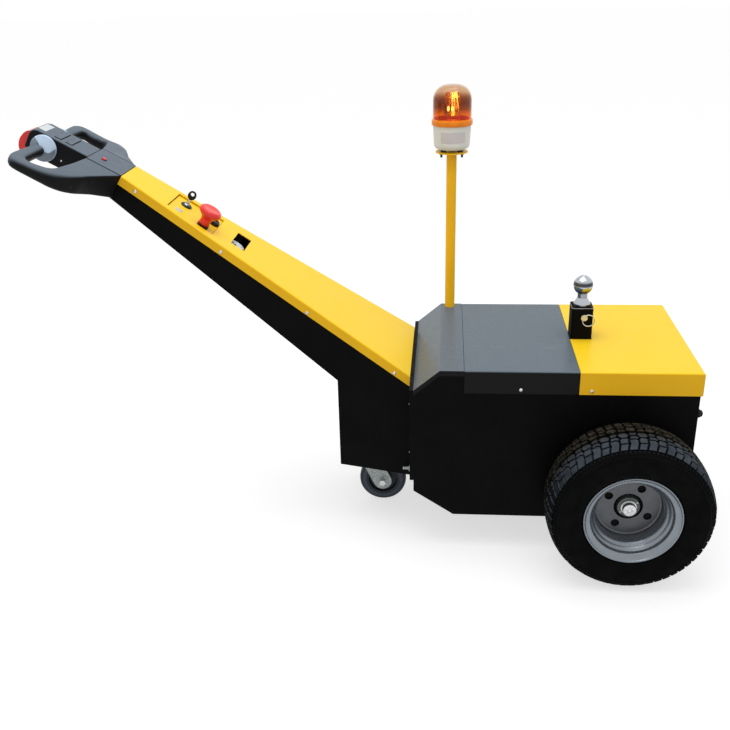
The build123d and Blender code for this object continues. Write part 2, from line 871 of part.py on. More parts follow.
def beacon_base():
    place = Location((-pole_place, pole_side, pole_top + beacon_plate_thickness))
    low = beacon_base_bottom_diameter / 2
    high = beacon_base_top_diameter / 2
    tall = beacon_base_height
    foot = beacon_foot_height
    bend = beacon_base_rounding
    points = [
        (0, foot), (low - bend, foot), (low - bend * 0.45, foot + bend * 0.2),
        (low - bend * 0.12, foot + bend * 0.6), (low, foot + bend), (high, tall), (0, tall),
    ]
    return turned(points, place)


def beacon_feet():
    """The rubber feet between the beacon and its plate."""
    feet = None
    for number in range(3):
        angle = radians(90 + 120 * number)
        x = beacon_foot_place * cos(angle) - pole_place
        y = beacon_foot_place * sin(angle) + pole_side
        foot = upright(x, y, pole_top + beacon_plate_thickness, 8, beacon_foot_height)
        feet = foot if feet is None else feet + foot
    return feet


def beacon_dome():
    place = Location((-pole_place, pole_side, beacon_seat))
    rim = beacon_rim_diameter / 2
    side = beacon_dome_diameter / 2
    tall = beacon_rim_height + beacon_dome_height
    shoulder = 34.0
    outer = [(rim, 0), (rim, beacon_rim_height - 2), (rim - 2, beacon_rim_height), (side, beacon_rim_height)]
    edge = Polyline((0, 0), *outer, (side, tall - shoulder))
    arc = ThreePointArc(
        (side, tall - shoulder), (side - shoulder * 0.293, tall - shoulder * 0.293), (side - shoulder, tall)
    )
    top = Polyline((side - shoulder, tall), (0, tall), (0, 0))
    solid = revolve(Plane.XZ * make_face(edge + arc + top), Axis.Z)
    wall = beacon_wall
    edge = Polyline((0, -1), (side - wall, -1), (side - wall, tall - shoulder))
    arc_in = shoulder - wall
    arc = ThreePointArc(
        (side - wall, tall - shoulder),
        (side - wall - arc_in * 0.293, tall - wall - arc_in * 0.293),
        (side - wall - arc_in, tall - wall),
    )
    top = Polyline((side - wall - arc_in, tall - wall), (0, tall - wall), (0, -1))
    hollow = revolve(Plane.XZ * make_face(edge + arc + top), Axis.Z)
    return place * (solid - hollow)


def beacon_lamp():
    """The lamp holder, bulb and curved mirror inside the dome."""
    place = Location((-pole_place, pole_side, beacon_seat))
    holder = [(0, 0), (36, 0), (36, 8), (14, 10), (11, 26), (0, 26)]
    bulb = [(0, 26), (7, 26), (8, 44), (5, 52), (0, 54)]
    lamp = turned(holder, place) + turned(bulb, place)
    mirror = Cylinder(30, 62) - Cylinder(28, 64)
    mirror -= Pos(-20, 0, 0) * Box(70, 80, 70)
    return lamp + place * Pos(0, 0, 38) * Rot(0, 0, 60) * mirror


def caster_plate():
    top = caster_plate_top
    low = top - caster_plate_thickness
    half_x = caster_plate_length / 2
    half_y = caster_plate_width / 2
    plate = box_between(swivel_x - half_x, swivel_x + half_x, -half_y, half_y, low, top)
    plate = fillet(plate.edges().filter_by(Axis.Z), 8)
    for x in (-1, 1):
        for y in (-1, 1):
            plate -= upright(swivel_x + x * (half_x - 14), y * (half_y - 14), low - 1, 5, top)
    race = upright(swivel_x, 0, low - caster_race_height, caster_race_diameter / 2, caster_race_height)
    pin_low = caster_crown_height - caster_crown_thickness - 8
    pin = upright(swivel_x, 0, pin_low, kingpin_diameter / 2, low - pin_low)
    nut = upright(swivel_x, 0, pin_low, kingpin_head_diameter / 2, 6)
    return plate + race + pin + nut


def caster_fork():
    top = caster_crown_height
    low = top - caster_crown_thickness
    inner = caster_wheel_width / 2 + caster_leg_gap
    outer = inner + caster_leg_thickness
    crown = upright(swivel_x, 0, low, caster_race_diameter / 2 + 2, caster_crown_thickness)
    front = swivel_x - 30
    rear = swivel_x + 28
    foot = caster_leg_foot_radius
    reach = caster_axle_x - swivel_x
    fall = low - caster_axle_height
    lean = atan2(reach, fall)
    side_x = foot * cos(lean)
    side_z = foot * sin(lean)
    leg = profile(
        [(front, top), (rear, top), (caster_axle_x + side_x, caster_axle_height + side_z),
         (caster_axle_x - side_x, caster_axle_height - side_z)], outer,
    )
    leg += across(caster_axle_x, -outer, caster_axle_height, foot, 2 * outer)
    gap = box_between(front - 60, rear + 90, -inner, inner, 0, low)
    legs = leg - gap
    fork = crown + legs
    fork -= upright(swivel_x, 0, 0, kingpin_diameter / 2 + running_clearance, 2 * top)
    return fork - across(caster_axle_x, -2 * outer, caster_axle_height, caster_bolt_diameter / 2, 4 * outer)


def caster_axle():
    outer = caster_wheel_width / 2 + caster_leg_gap + caster_leg_thickness
    axle = across(caster_axle_x, -outer, caster_axle_height, caster_bolt_diameter / 2, 2 * outer)
    for side in (-1, 1):
        start = outer if side > 0 else -outer - caster_nut_length
        hexagon = extrude(RegularPolygon(9.5, 6), amount=caster_nut_length)
        axle += Pos(caster_axle_x, start + caster_nut_length, caster_axle_height) * Rot(90, 0, 0) * hexagon
    return axle


def caster_core():
    place = Location((caster_axle_x, 0, caster_axle_height)) * Rot(90, 0, 0)
    radius = caster_core_diameter / 2
    half = caster_wheel_width / 2
    bore = caster_bolt_diameter / 2 + running_clearance
    hub = 16.0
    hub_half = half + caster_leg_gap - caster_hub_clearance
    points = [
        (bore, -hub_half), (hub, -hub_half), (hub, -half + 6), (radius - 8, -half + 8),
        (radius - 5, -half + 1), (radius, -half + 1), (radius, half - 1), (radius - 5, half - 1),
        (radius - 8, half - 8), (hub, half - 6), (hub, hub_half), (bore, hub_half),
    ]
    return turned(points, place)


def caster_tyre():
    place = Location((caster_axle_x, 0, caster_axle_height)) * Rot(90, 0, 0)
    bore = caster_core_diameter / 2
    radius = caster_wheel_diameter / 2
    half = caster_wheel_width / 2
    points = [
        (bore, -half + 1), (bore + 8, -half + 1), (radius - 5, -half + 1.5), (radius - 1, -half + 6),
        (radius, -5), (radius, 5), (radius - 1, half - 6), (radius - 5, half - 1.5),
        (bore + 8, half - 1), (bore, half - 1),
    ]
    return turned(points, place)


def wheel_place(side):
    """The middle of a drive wheel, with Z pointing outwards."""
    turn = Rot(90, 0, 0) if side < 0 else Rot(-90, 0, 0)
    return Location((0, side * wheel_middle, axle_height)) * turn


def tyre(side):
    bead = bead_diameter / 2
    radius = tyre_radius
    half = tyre_width / 2
    crown = tread_width / 2
    wall = 8.0
    seat = rim_width / 2 - bead_overlap
    outer = [
        (bead, seat), (bead + 14, seat), (bead + 22, half - 4), (bead + 44, half),
        (radius - 26, half - 5), (radius - 14, crown + 4), (radius - 6, crown - 3),
        (radius - 2, crown * 0.55), (radius, crown * 0.15),
    ]
    outer += [(r, -t) for r, t in reversed(outer)]
    inside = [
        (bead, seat - 12), (bead + 14, seat - 12), (bead + 44, half - wall),
        (radius - 24, crown - wall), (radius - 14, crown * 0.5),
    ]
    inner = [(r, -t) for r, t in inside] + list(reversed(inside))
    return turned(outer + inner, wheel_place(side))


def rim(side):
    """The pressed rim: two flanges, two seats, steps down to the well, and the disc."""
    flange = rim_flange_diameter / 2
    seat = bead_diameter / 2
    well = rim_well_diameter / 2
    half = rim_width / 2
    wall = rim_wall
    step = rim_step
    outside = [
        (flange, half), (flange, half - wall), (seat + 3, half - 8), (seat, half - 9), (seat, half - 22),
        (seat - step + 1, half - 26), (well + 1, half - 36), (well, half - 38),
    ]
    inside = [
        (well - wall, half - 40), (well - wall + 1, half - 36), (seat - step - wall + 1, half - 28),
        (seat - step - wall + 2, half - 25), (seat - wall, half - 20), (seat - wall, half - 8),
        (seat + 2, half - 3), (flange - wall, half),
    ]
    back = [(r, -t) for r, t in reversed(outside)]
    back_in = [(r, -t) for r, t in reversed(inside)]
    place = wheel_place(side)
    body = turned(outside + back + back_in + inside, place)
    hole = disc_centre_hole / 2
    plate = disc_offset
    thick = disc_thickness
    disc = [(hole, plate), (well - wall, plate), (well - wall, plate - thick), (hole, plate - thick)]
    body += turned(disc, place)
    for spot in wheel_bolt_spots():
        body -= place * Pos(spot[0], spot[1], plate) * Cylinder(wheel_bolt_hole / 2, 6 * thick)
    return body


def wheel_bolt_spots():
    """The places of the wheel bolts about the axle."""
    spots = []
    for number in range(wheel_bolt_count):
        angle = radians(wheel_bolt_phase + 360.0 * number / wheel_bolt_count)
        spots.append((wheel_bolt_circle / 2 * cos(angle), wheel_bolt_circle / 2 * sin(angle)))
    return spots


def wheel_hub(side):
    """The hub behind the wheel disc, with its nose, nut and drive shaft."""
    top = disc_offset - disc_thickness
    flange = hub_flange_diameter / 2
    nose = hub_nose_diameter / 2
    high = top + hub_nose_length
    washer = high + axle_washer_thickness
    nut = washer + axle_nut_length
    low = axle_end - wheel_middle - shaft_engagement
    shaft = axle_shaft_diameter / 2
    barrel = top - hub_barrel_length
    points = [
        (0, low), (shaft, low), (shaft, barrel), (nose, barrel), (nose, top - hub_flange_thickness),
        (flange, top - hub_flange_thickness), (flange, top), (nose, top), (nose, high),
        (axle_washer_diameter / 2, high), (axle_washer_diameter / 2, washer),
        (axle_nut_diameter / 2, washer), (axle_nut_diameter / 2, nut - 2), (axle_nut_diameter / 2 - 2, nut),
        (0, nut),
    ]
    return turned(points, wheel_place(side))


def drive_axle():
    """Axle tubes with their bearings, and the gear case up to the motor."""
    reach = axle_end
    tube = across(0, -reach, axle_height, axle_tube_diameter / 2, 2 * reach)
    for start in (-reach, reach - axle_bearing_length):
        tube += across(0, start, axle_height, axle_bearing_diameter / 2, axle_bearing_length)
    low = gear_case_offset - gear_case_width / 2
    case = across(0, low, axle_height, gear_case_axle_radius, gear_case_width)
    motor_z = axle_height + motor_rise
    case += across(motor_forward, low, motor_z, gear_case_motor_radius, gear_case_width)
    lean = atan2(motor_forward, motor_rise)
    r0 = gear_case_axle_radius
    r1 = gear_case_motor_radius
    web = [
        (-r0 * cos(lean), axle_height + r0 * sin(lean)), (r0 * cos(lean), axle_height - r0 * sin(lean)),
        (motor_forward + r1 * cos(lean), motor_z - r1 * sin(lean)),
        (motor_forward - r1 * cos(lean), motor_z + r1 * sin(lean)),
    ]
    case += Pos(0, gear_case_offset, 0) * profile(web, gear_case_width / 2)
    axle = tube + case
    bore = axle_shaft_diameter / 2 + running_clearance
    deep = shaft_engagement + axle_end_gap
    for start in (-reach, reach - deep):
        axle -= across(0, start, axle_height, bore, deep)
    for side in (-1, 1):
        start = side * bracket_side - axle_bracket_thickness / 2
        half = axle_bracket_length / 2
        high = axle_height + axle_tube_diameter / 2 + 24
        bracket = box_between(-half, half, start, start + axle_bracket_thickness, floor_height + sheet, high)
        axle += bracket
    return axle


def drive_motor():
    start = gear_case_offset + gear_case_width / 2
    radius = motor_diameter / 2
    motor = across(motor_forward, start, axle_height + motor_rise, radius, motor_length)
    return motor + across(motor_forward, start + motor_length, axle_height + motor_rise, radius * 0.7, 14)


def battery_pack():
    x0 = body_front + front_corner_length + battery_gap
    low = floor_height + sheet
    pack = None
    for side in (-1, 1):
        y0 = battery_gap / 2 if side > 0 else -battery_gap / 2 - battery_width
        block = box_between(x0, x0 + battery_length, y0, y0 + battery_width, low, low + battery_height)
        pack = block if pack is None else pack + block
    return pack


def rear_buffers():
    """Rubber stops on the rear edges of the body."""
    buffers = None
    radius = buffer_diameter / 2
    reach = buffer_reach
    points = [(0, 0), (radius, 0), (radius, 4), (radius * 0.7, reach - 2), (radius * 0.4, reach), (0, reach)]
    for side in (-1, 1):
        place = Location((body_rear, side * buffer_side, buffer_height)) * Rot(0, 90, 0)
        buffer = turned(points, place)
        buffers = buffer if buffers is None else buffers + buffer
    return buffers


def arm_fixing_bolts():
    """The bolts that hold the arm's foot to the front plate, with their washers."""
    bolts = None
    for side in (-1, 1):
        place = Location((arm_base, side * fixing_bolt_side, fixing_bolt_height)) * Rot(0, -90, 0)
        half = fixing_bolt_diameter / 2
        washer = fixing_washer_diameter / 2
        seat = fixing_washer_thickness
        points = [(0, 0), (washer, 0), (washer, seat), (half, seat)]
        points += [(half, fixing_bolt_length), (0, fixing_bolt_length)]
        bolt = turned(points, place)
        bolts = bolt if bolts is None else bolts + bolt
    return bolts


pieces = {
    "body_tub": body_tub(),
    "rear_panel": rear_panel(),
    "front_plate": front_plate(),
    "front_cowl": front_cowl(),
    "middle_cover": middle_cover(),
    "rear_cover": rear_cover(),
    "arm_frame": arm_frame(),
    "arm_cover": arm_cover(),
    "key_switch": key_switch(),
    "key_barrel": key_barrel(),
    "key": key(),
    "stop_base": stop_base(),
    "emergency_stop": emergency_stop(),
    "push_button": push_button(),
    "charge_gauge": charge_gauge(),
    "gauge_dial": gauge_dial(),
    "handle_frame": handle_frame(),
    "handle_top_plate": handle_top_plate(),
    "control_console": control_console(),
    "rocker_buttons": rocker_buttons(),
    "display_plate": display_plate(),
    "signal_lens": signal_lens(),
    "throttle_paddles": throttle_paddles(),
    "belly_button": belly_button(),
    "beacon_pole": beacon_pole(),
    "beacon_feet": beacon_feet(),
    "beacon_base": beacon_base(),
    "beacon_dome": beacon_dome(),
    "beacon_lamp": beacon_lamp(),
    "hitch_post": hitch_post(),
    "ball_insert": ball_insert(),
    "tow_ball": tow_ball(),
    "hitch_pin": hitch_pin(),
    "caster_plate": caster_plate(),
    "caster_fork": caster_fork(),
    "caster_axle": caster_axle(),
    "caster_core": caster_core(),
    "caster_tyre": caster_tyre(),
    "drive_axle": drive_axle(),
    "drive_motor": drive_motor(),
    "battery_pack": battery_pack(),
    "rear_buffers": rear_buffers(),
    "arm_fixing_bolts": arm_fixing_bolts(),
}
for side, name in ((-1, "near"), (1, "far")):
    pieces["tyre_" + name] = tyre(side)
    pieces["rim_" + name] = rim(side)
    pieces["wheel_hub_" + name] = wheel_hub(side)

machine_front = pieces["belly_button"].bounding_box().min.X
origin_x = (machine_front + tyre_radius) / 2

os.makedirs("parts", exist_ok=True)
for name, piece in pieces.items():
    export_step(Pos(-origin_x, 0, 0) * piece, "parts/" + name + ".step")
print("origin is", round(-origin_x, 3), "from the drive axle")
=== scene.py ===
"""Looks of a walk-behind electric tow tug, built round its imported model.

Every length is in metres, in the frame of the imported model: +X towards the tow
ball, +Z up, the floor at z = 0. The finishes come first, then one class for each
sub-assembly of the machine, and main() builds them in order.
"""

import json
import logging
import math
from dataclasses import dataclass, field
from enum import Enum

import bmesh
import bpy
from mathutils import Matrix, Vector


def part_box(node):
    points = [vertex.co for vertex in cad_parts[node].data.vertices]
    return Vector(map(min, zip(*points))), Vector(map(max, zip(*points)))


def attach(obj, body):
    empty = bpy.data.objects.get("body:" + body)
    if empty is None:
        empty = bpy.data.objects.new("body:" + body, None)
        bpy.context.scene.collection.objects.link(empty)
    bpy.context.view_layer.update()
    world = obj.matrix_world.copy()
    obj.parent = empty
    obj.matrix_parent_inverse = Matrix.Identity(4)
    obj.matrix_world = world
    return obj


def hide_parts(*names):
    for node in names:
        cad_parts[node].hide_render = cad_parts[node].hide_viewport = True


Colour = tuple[float, float, float]
Point = tuple[float, float]
Spot = tuple[float, float, float]

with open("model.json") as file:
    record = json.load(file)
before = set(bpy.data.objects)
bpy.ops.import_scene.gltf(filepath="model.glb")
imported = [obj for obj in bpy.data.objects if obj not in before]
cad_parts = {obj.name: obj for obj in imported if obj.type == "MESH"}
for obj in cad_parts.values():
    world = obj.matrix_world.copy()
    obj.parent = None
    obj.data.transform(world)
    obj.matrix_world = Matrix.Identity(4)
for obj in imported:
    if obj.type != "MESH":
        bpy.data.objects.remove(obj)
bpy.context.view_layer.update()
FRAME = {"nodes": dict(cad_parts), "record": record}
LOG = logging.getLogger("tow_tug")
MERGED = 1e-6


def joint_place(name: str) -> Vector:
    """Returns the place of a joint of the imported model.

    Args:
        name: The joint's name.

    Returns:
        The joint's place at rest.
    """
    for joint in FRAME["record"]["behaviour"]["joints"]:
        if joint["name"] == name:
            return Vector(joint["pos_m"])
    raise ValueError("no joint " + name)


AXLE = joint_place("near_wheel_turn")
CASTER_AXLE = joint_place("caster_wheel_turn")
ARM_SLOPE = math.radians(34.08)
ARM_LENGTH = 0.884
ARM_BASE = (-0.541, 0.467)
HEAD_SLOPE = math.radians(29.0)
HEAD = Vector((
    AXLE.x + ARM_BASE[0] - ARM_LENGTH * math.cos(ARM_SLOPE), 0.0, ARM_BASE[1] + ARM_LENGTH * math.sin(ARM_SLOPE)
))


def slope_frame(slope: float, sense: float) -> Matrix:
    """Makes the axes of a slope that starts where the arm and the head meet.

    Args:
        slope: The slope's angle.
        sense: 1 where X runs down the slope and Y to +Y, -1 where both are turned round.

    Returns:
        The axes, with Z out of the slope's top.
    """
    along = Vector((sense * math.cos(slope), 0.0, -sense * math.sin(slope)))
    normal = Vector((math.sin(slope), 0.0, math.cos(slope)))
    turn = Matrix((along, Vector((0.0, sense, 0.0)), normal)).transposed().to_4x4()
    return Matrix.Translation(HEAD) @ turn


ARM_FRAME = slope_frame(ARM_SLOPE, 1.0)
HEAD_FRAME = slope_frame(HEAD_SLOPE, -1.0)


def arm_place(down: float, side: float, out: float = 0.0) -> Matrix:
    """Returns a place on the arm cover: X runs down it, Y to +Y and Z out of its top."""
    return ARM_FRAME @ Matrix.Translation((down, side, out))


def head_place(up: float, side: float, out: float, turn: Matrix | None = None) -> Matrix:
    """Returns a place on the tiller head: X runs up it to the grips, Y to -Y and Z out of its top."""
    return HEAD_FRAME @ Matrix.Translation((up, -side, out)) @ (turn or Matrix())


def head_spot(up: float, side: float, out: float) -> Vector:
    """Returns the point of head_place."""
    return head_place(up, side, out).translation


def circle(radius: float, steps: int, middle: Point = (0.0, 0.0), start: float = 0.0) -> list[Point]:
    """Makes the points of a circle.

    Args:
        radius: Its radius.
        steps: How many points it has.
        middle: Its middle.
        start: The angle of its first point.

    Returns:
        The points in order.
    """
    angles = [start + 2 * math.pi * step / steps for step in range(steps)]
    return [(middle[0] + radius * math.cos(angle), middle[1] + radius * math.sin(angle)) for angle in angles]


def rounded(corners: list[Point], radius: float, steps: int = 5, closed: bool = True) -> list[Point]:
    """Rounds the corners of a flat outline.

    Args:
        corners: The outline's corners.
        radius: How far from a corner its curve starts.
        steps: Lines along each curve.
        closed: Whether the last corner joins the first.

    Returns:
        The rounded outline.
    """
    result = []
    count = len(corners)
    for at, corner in enumerate(corners):
        here = Vector(corner)
        if not closed and at in (0, count - 1):
            result.append((here.x, here.y))
            continue
        back = Vector(corners[at - 1]) - here
        ahead = Vector(corners[(at + 1) % count]) - here
        reach = min(radius, back.length * 0.49, ahead.length * 0.49)
        start = here + back.normalized() * reach
        end = here + ahead.normalized() * reach
        for step in range(steps + 1):
            share = step / steps
            spot = start.lerp(here, share).lerp(here.lerp(end, share), share)
            result.append((spot.x, spot.y))
    return result


def flowing(rows: list[tuple[float, ...]], steps: int) -> list[list[float]]:
    """Fills in rows of numbers between given rows along a smooth curve.

    Args:
        rows: The given rows.
        steps: Rows from one given row to the next.

    Returns:
        All the rows.
    """
    result = []
    last = len(rows) - 1
    for at in range(last):
        near = (rows[max(at - 1, 0)], rows[at], rows[at + 1], rows[min(at + 2, last)])
        for step in range(steps):
            t = step / steps
            row = []
            for a, b, c, d in zip(*near):
                bend = (2 * a - 5 * b + 4 * c - d) * t * t + (3 * b - a - 3 * c + d) * t ** 3
                row.append(0.5 * (2 * b + (c - a) * t + bend))
            result.append(row)
    result.append(list(rows[last]))
    return result


class Side(Enum):
    """The two sides of the machine: the near one is towards the camera."""

    NEAR = -1
    FAR = 1


class Body(Enum):
    """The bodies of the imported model."""

    CHASSIS = "chassis"
    SWIVEL = "caster_swivel"
    CASTER = "caster_wheel"
    NEAR_WHEEL = "wheel_near"
    FAR_WHEEL = "wheel_far"


class TreeBook:
    """A short way to write a node tree."""

    def __init__(self, tree: bpy.types.NodeTree) -> None:
        """Keeps the tree that is written."""
        self.tree = tree

    def node(self, kind: str, inputs: dict[str | int, object] | None = None, **settings: object) -> bpy.types.Node:
        """Adds a node with its inputs and settings.

        Args:
            kind: The node's type.
            inputs: An output or a plain value for each input, by the input's name or place.
            settings: Values for the node's own properties.

        Returns:
            The new node.
        """
        made = self.tree.nodes.new(kind)
        for name, value in settings.items():
            setattr(made, name, value)
        for name, value in (inputs or {}).items():
            self.plug(made.inputs[name], value)
        return made

    def plug(self, socket: bpy.types.NodeSocket, value: object) -> None:
        """Links or sets one input.

        Args:
            socket: The input.
            value: An output to link, or a plain value.
        """
        if isinstance(value, bpy.types.NodeSocket):
            self.tree.links.new(value, socket)
        else:
            socket.default_value = value


class NodeBook(TreeBook):
    """The node tree of one material."""

    def __init__(self, name: str) -> None:
        """Starts a material with its shader and object coordinates.

        Args:
            name: The material's name.
        """
        self.material = bpy.data.materials.new(name)
        self.material.use_nodes = True
        super().__init__(self.material.node_tree)
        self.shader = self.tree.nodes["Principled BSDF"]
        self.coords = self.node("ShaderNodeTexCoord").outputs["Object"]

    def noise(self, scale: float, detail: float = 2.0, stretch: Spot = (1.0, 1.0, 1.0)) -> bpy.types.NodeSocket:
        """Adds a noise pattern.

        Args:
            scale: Patches to the metre.
            detail: Octaves of finer noise.
            stretch: How much denser the pattern is along each axis.

        Returns:
            The pattern, from 0 to 1.
        """
        place = self.coords
        if stretch != (1.0, 1.0, 1.0):
            place = self.node("ShaderNodeMapping", {"Vector": place, "Scale": stretch}).outputs["Vector"]
        return self.node("ShaderNodeTexNoise", {"Vector": place, "Scale": scale, "Detail": detail}).outputs["Fac"]

    def cells(self, scale: float) -> bpy.types.NodeSocket:
        """Adds a pattern of round cells.

        Args:
            scale: Cells to the metre.

        Returns:
            The distance to the nearest cell's middle.
        """
        return self.node("ShaderNodeTexVoronoi", {"Vector": self.coords, "Scale": scale}).outputs["Distance"]

    def span(
        self, value: bpy.types.NodeSocket, low: float, high: float, to_low: float = 0.0, to_high: float = 1.0
    ) -> bpy.types.NodeSocket:
        """Maps a range of a value to another range, and clamps it.

        Args:
            value: The value.
            low: The value that becomes to_low.
            high: The value that becomes to_high.
            to_low: The result at low.
            to_high: The result at high.

        Returns:
            The mapped value.
        """
        ends = {"From Min": low, "From Max": high, "To Min": to_low, "To Max": to_high}
        return self.node(
            "ShaderNodeMapRange", {"Value": value, **ends}, interpolation_type="SMOOTHSTEP"
        ).outputs["Result"]

    def sum(self, kind: str, one: object, two: object) -> bpy.types.NodeSocket:
        """Adds an arithmetic node.

        Args:
            kind: The operation's name.
            one: The first term.
            two: The second term.

        Returns:
            The result.
        """
        return self.node("ShaderNodeMath", {0: one, 1: two}, operation=kind).outputs[0]

    def mixed(self, share: object, one: object, two: object) -> bpy.types.NodeSocket:
        """Mixes two colours.

        Args:
            share: How much of the second colour shows.
            one: The first colour, or an output.
            two: The second colour, or an output.

        Returns:
            The mixed colour.
        """
        ends = [(*value, 1.0) if isinstance(value, tuple) else value for value in (one, two)]
        made = self.node("ShaderNodeMix", {"Factor": share}, data_type="RGBA")
        for name, value in zip("AB", ends):
            self.plug(made.inputs[name], value)
        return made.outputs["Result"]

    def part(self, spot: bpy.types.NodeSocket, axis: str) -> bpy.types.NodeSocket:
        """Takes one number out of a vector.

        Args:
            spot: The vector.
            axis: X, Y or Z.

        Returns:
            The number.
        """
        return self.node("ShaderNodeSeparateXYZ", {0: spot}).outputs[axis]

    def along(self, axis: str) -> bpy.types.NodeSocket:
        """Returns one of the object coordinates."""
        return self.part(self.coords, axis)

    def lift(self) -> bpy.types.NodeSocket:
        """Returns the height of the face's normal, 1 on a flat top and 0 on a wall."""
        return self.part(self.node("ShaderNodeNewGeometry").outputs["Normal"], "Z")

    def facing_up(self) -> bpy.types.NodeSocket:
        """Returns how far a face looks up, from 0 on a wall to 1 on a flat top."""
        return self.span(self.lift(), 0.15, 0.85)

    def reach(self, centre: Vector) -> bpy.types.NodeSocket:
        """Adds the distance from an axle that runs along Y.

        Args:
            centre: A point on the axle.

        Returns:
            The distance.
        """
        ahead = self.sum("SUBTRACT", self.along("X"), centre.x)
        above = self.sum("SUBTRACT", self.along("Z"), centre.z)
        total = self.sum("ADD", self.sum("MULTIPLY", ahead, ahead), self.sum("MULTIPLY", above, above))
        return self.sum("POWER", total, 0.5)

    def bump(self, height: bpy.types.NodeSocket, depth: float, share: float) -> bpy.types.NodeSocket:
        """Adds a bump.

        Args:
            height: The height pattern, from 0 to 1.
            depth: The real height of the bumps.
            share: How strongly the bump shows.

        Returns:
            The new normal.
        """
        return self.node("ShaderNodeBump", {"Distance": depth, "Strength": share, "Height": height}).outputs["Normal"]

    def settle(self, **values: object) -> None:
        """Sets or links the shader's own inputs.

        Args:
            values: Input names, with _ for a space, and what goes in.
        """
        for name, value in values.items():
            self.plug(self.shader.inputs[name.replace("_", " ")], value)


@dataclass(frozen=True)
class Finish:
    """One finish with its grain, mottling and dust.

    The grain is a fine bump, the mottling a slow change of the colour, and dust
    gathers in patches, more of it on faces that look up. A lighter top colour,
    where one is given, is painted light on faces that look up.
    """

    name: str
    colour: Colour
    roughness: float = 0.5
    metallic: float = 0.0
    specular: float = 0.5
    coat: float = 0.0
    grain_scale: float = 900.0
    grain_depth: float = 0.00004
    mottle: float = 0.12
    mottle_scale: float = 9.0
    dust: float = 0.0
    dust_colour: Colour = (0.35, 0.32, 0.27)
    stands_for: str = ""
    painted_top_light: Colour | None = None

    @property
    def record_slot(self) -> str:
        """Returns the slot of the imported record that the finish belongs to."""
        return self.stands_for or self.name

    def tinted(self, book: NodeBook) -> bpy.types.NodeSocket:
        """Builds the colour.

        Args:
            book: The material's nodes.

        Returns:
            The colour with its mottling, painted top light and dust.
        """
        dark = tuple(c * (1 - self.mottle) for c in self.colour)
        light = tuple(min(1.0, c * (1 + self.mottle * 0.5)) for c in self.colour)
        colour = book.mixed(book.span(book.noise(self.mottle_scale, 4.0), 0.35, 0.65), dark, light)
        # Faces that look up take a lighter colour: painted light from above.
        if self.painted_top_light is not None:
            colour = book.mixed(book.facing_up(), colour, self.painted_top_light)
        if self.dust <= 0:
            return colour
        patches = book.span(book.noise(self.mottle_scale * 3, 6.0), 0.42, 0.72)
        share = book.sum("MULTIPLY", patches, book.span(book.facing_up(), 0.0, 1.0, 0.25, 1.0))
        return book.mixed(book.sum("MULTIPLY", share, self.dust), colour, self.dust_colour)

    def finer(self, book: NodeBook) -> None:
        """Adds what only one kind of finish has; the plain finish has nothing.

        Args:
            book: The material's nodes.
        """

    def build(self) -> bpy.types.Material:
        """Builds the material.

        Returns:
            The new material.
        """
        book = NodeBook(self.name)
        rough = book.span(
            book.noise(self.mottle_scale * 4, 3.0), 0.3, 0.7, self.roughness * 0.88, min(1.0, self.roughness * 1.12)
        )
        book.settle(Base_Color=self.tinted(book), Roughness=rough, Metallic=self.metallic)
        book.settle(Specular_IOR_Level=self.specular, Coat_Weight=self.coat, Coat_Roughness=0.12)
        book.settle(Normal=book.bump(book.noise(self.grain_scale, 3.0), self.grain_depth, 0.5))
        self.finer(book)
        return book.material


@dataclass(frozen=True)
class ReflectionPaintedCoat(Finish):
    """A dark gloss coat with a pale bluish painted reflection of the light above on faces that look up, and fine
    scratches.
    """

    painted_reflection_colour: Colour = (0.118, 0.148, 0.178)

    def tinted(self, book: NodeBook) -> bpy.types.NodeSocket:
        """Builds the colour.

        Args:
            book: The material's nodes.

        Returns:
            The colour with its painted reflection, specks and scratches.
        """
        # Faces that look up take a pale bluish colour: a painted reflection of the light above.
        reflected = book.mixed(book.facing_up(), self.colour, self.painted_reflection_colour)
        specks = book.span(book.cells(55.0), 0.05, 0.02)
        rare = book.span(book.noise(23.0, 1.0), 0.66, 0.7)
        reflected = book.mixed(book.sum("MULTIPLY", specks, rare), reflected, (0.3, 0.32, 0.34))
        streak = book.span(book.noise(60.0, 2.0, (0.12, 1.4, 1.0)), 0.73, 0.76)
        return book.mixed(book.sum("MULTIPLY", streak, 0.35), reflected, (0.28, 0.29, 0.3))


@dataclass(frozen=True)
class Rubber(Finish):
    """Tyre rubber: black walls and grooves, brown dust on the crown, and a painted bluish sheen on the outer block
    tops.
    """

    painted_sheen_colour: Colour = (0.06, 0.072, 0.088)
    crown_colour: Colour = (0.05, 0.044, 0.03)
    groove: tuple[float, float] = (0.195, 0.2005)
    crown_bend: float = 1.7

    def tinted(self, book: NodeBook) -> bpy.types.NodeSocket:
        """Builds the colour.

        Args:
            book: The material's nodes.

        Returns:
            The colour of the walls and grooves, and of the block tops with their dust and painted sheen.
        """
        out = book.sum("SUBTRACT", book.sum("ABSOLUTE", book.along("Y"), 0.0), abs(AXLE.y))
        bend = book.sum("MULTIPLY", book.sum("MULTIPLY", out, out), self.crown_bend)
        height = book.sum("ADD", book.reach(AXLE), bend)
        top = book.sum("MULTIPLY", book.span(height, *self.groove), book.facing_up())
        dusty = book.span(book.noise(90.0, 4.0), 0.35, 0.65, 0.25, 1.0)
        crown = book.mixed(dusty, self.colour, self.crown_colour)
        # Outer block tops take a pale bluish colour, a painted sheen; inner ones take the crown's dust.
        blocks = book.mixed(book.span(out, -0.004, 0.028), crown, self.painted_sheen_colour)
        # The mask of block tops that face up carries both the dust and the painted sheen.
        dust_and_sheen = book.sum("MULTIPLY", top, book.span(book.noise(45.0, 3.0), 0.25, 0.75, 0.6, 1.0))
        return book.mixed(dust_and_sheen, self.colour, blocks)


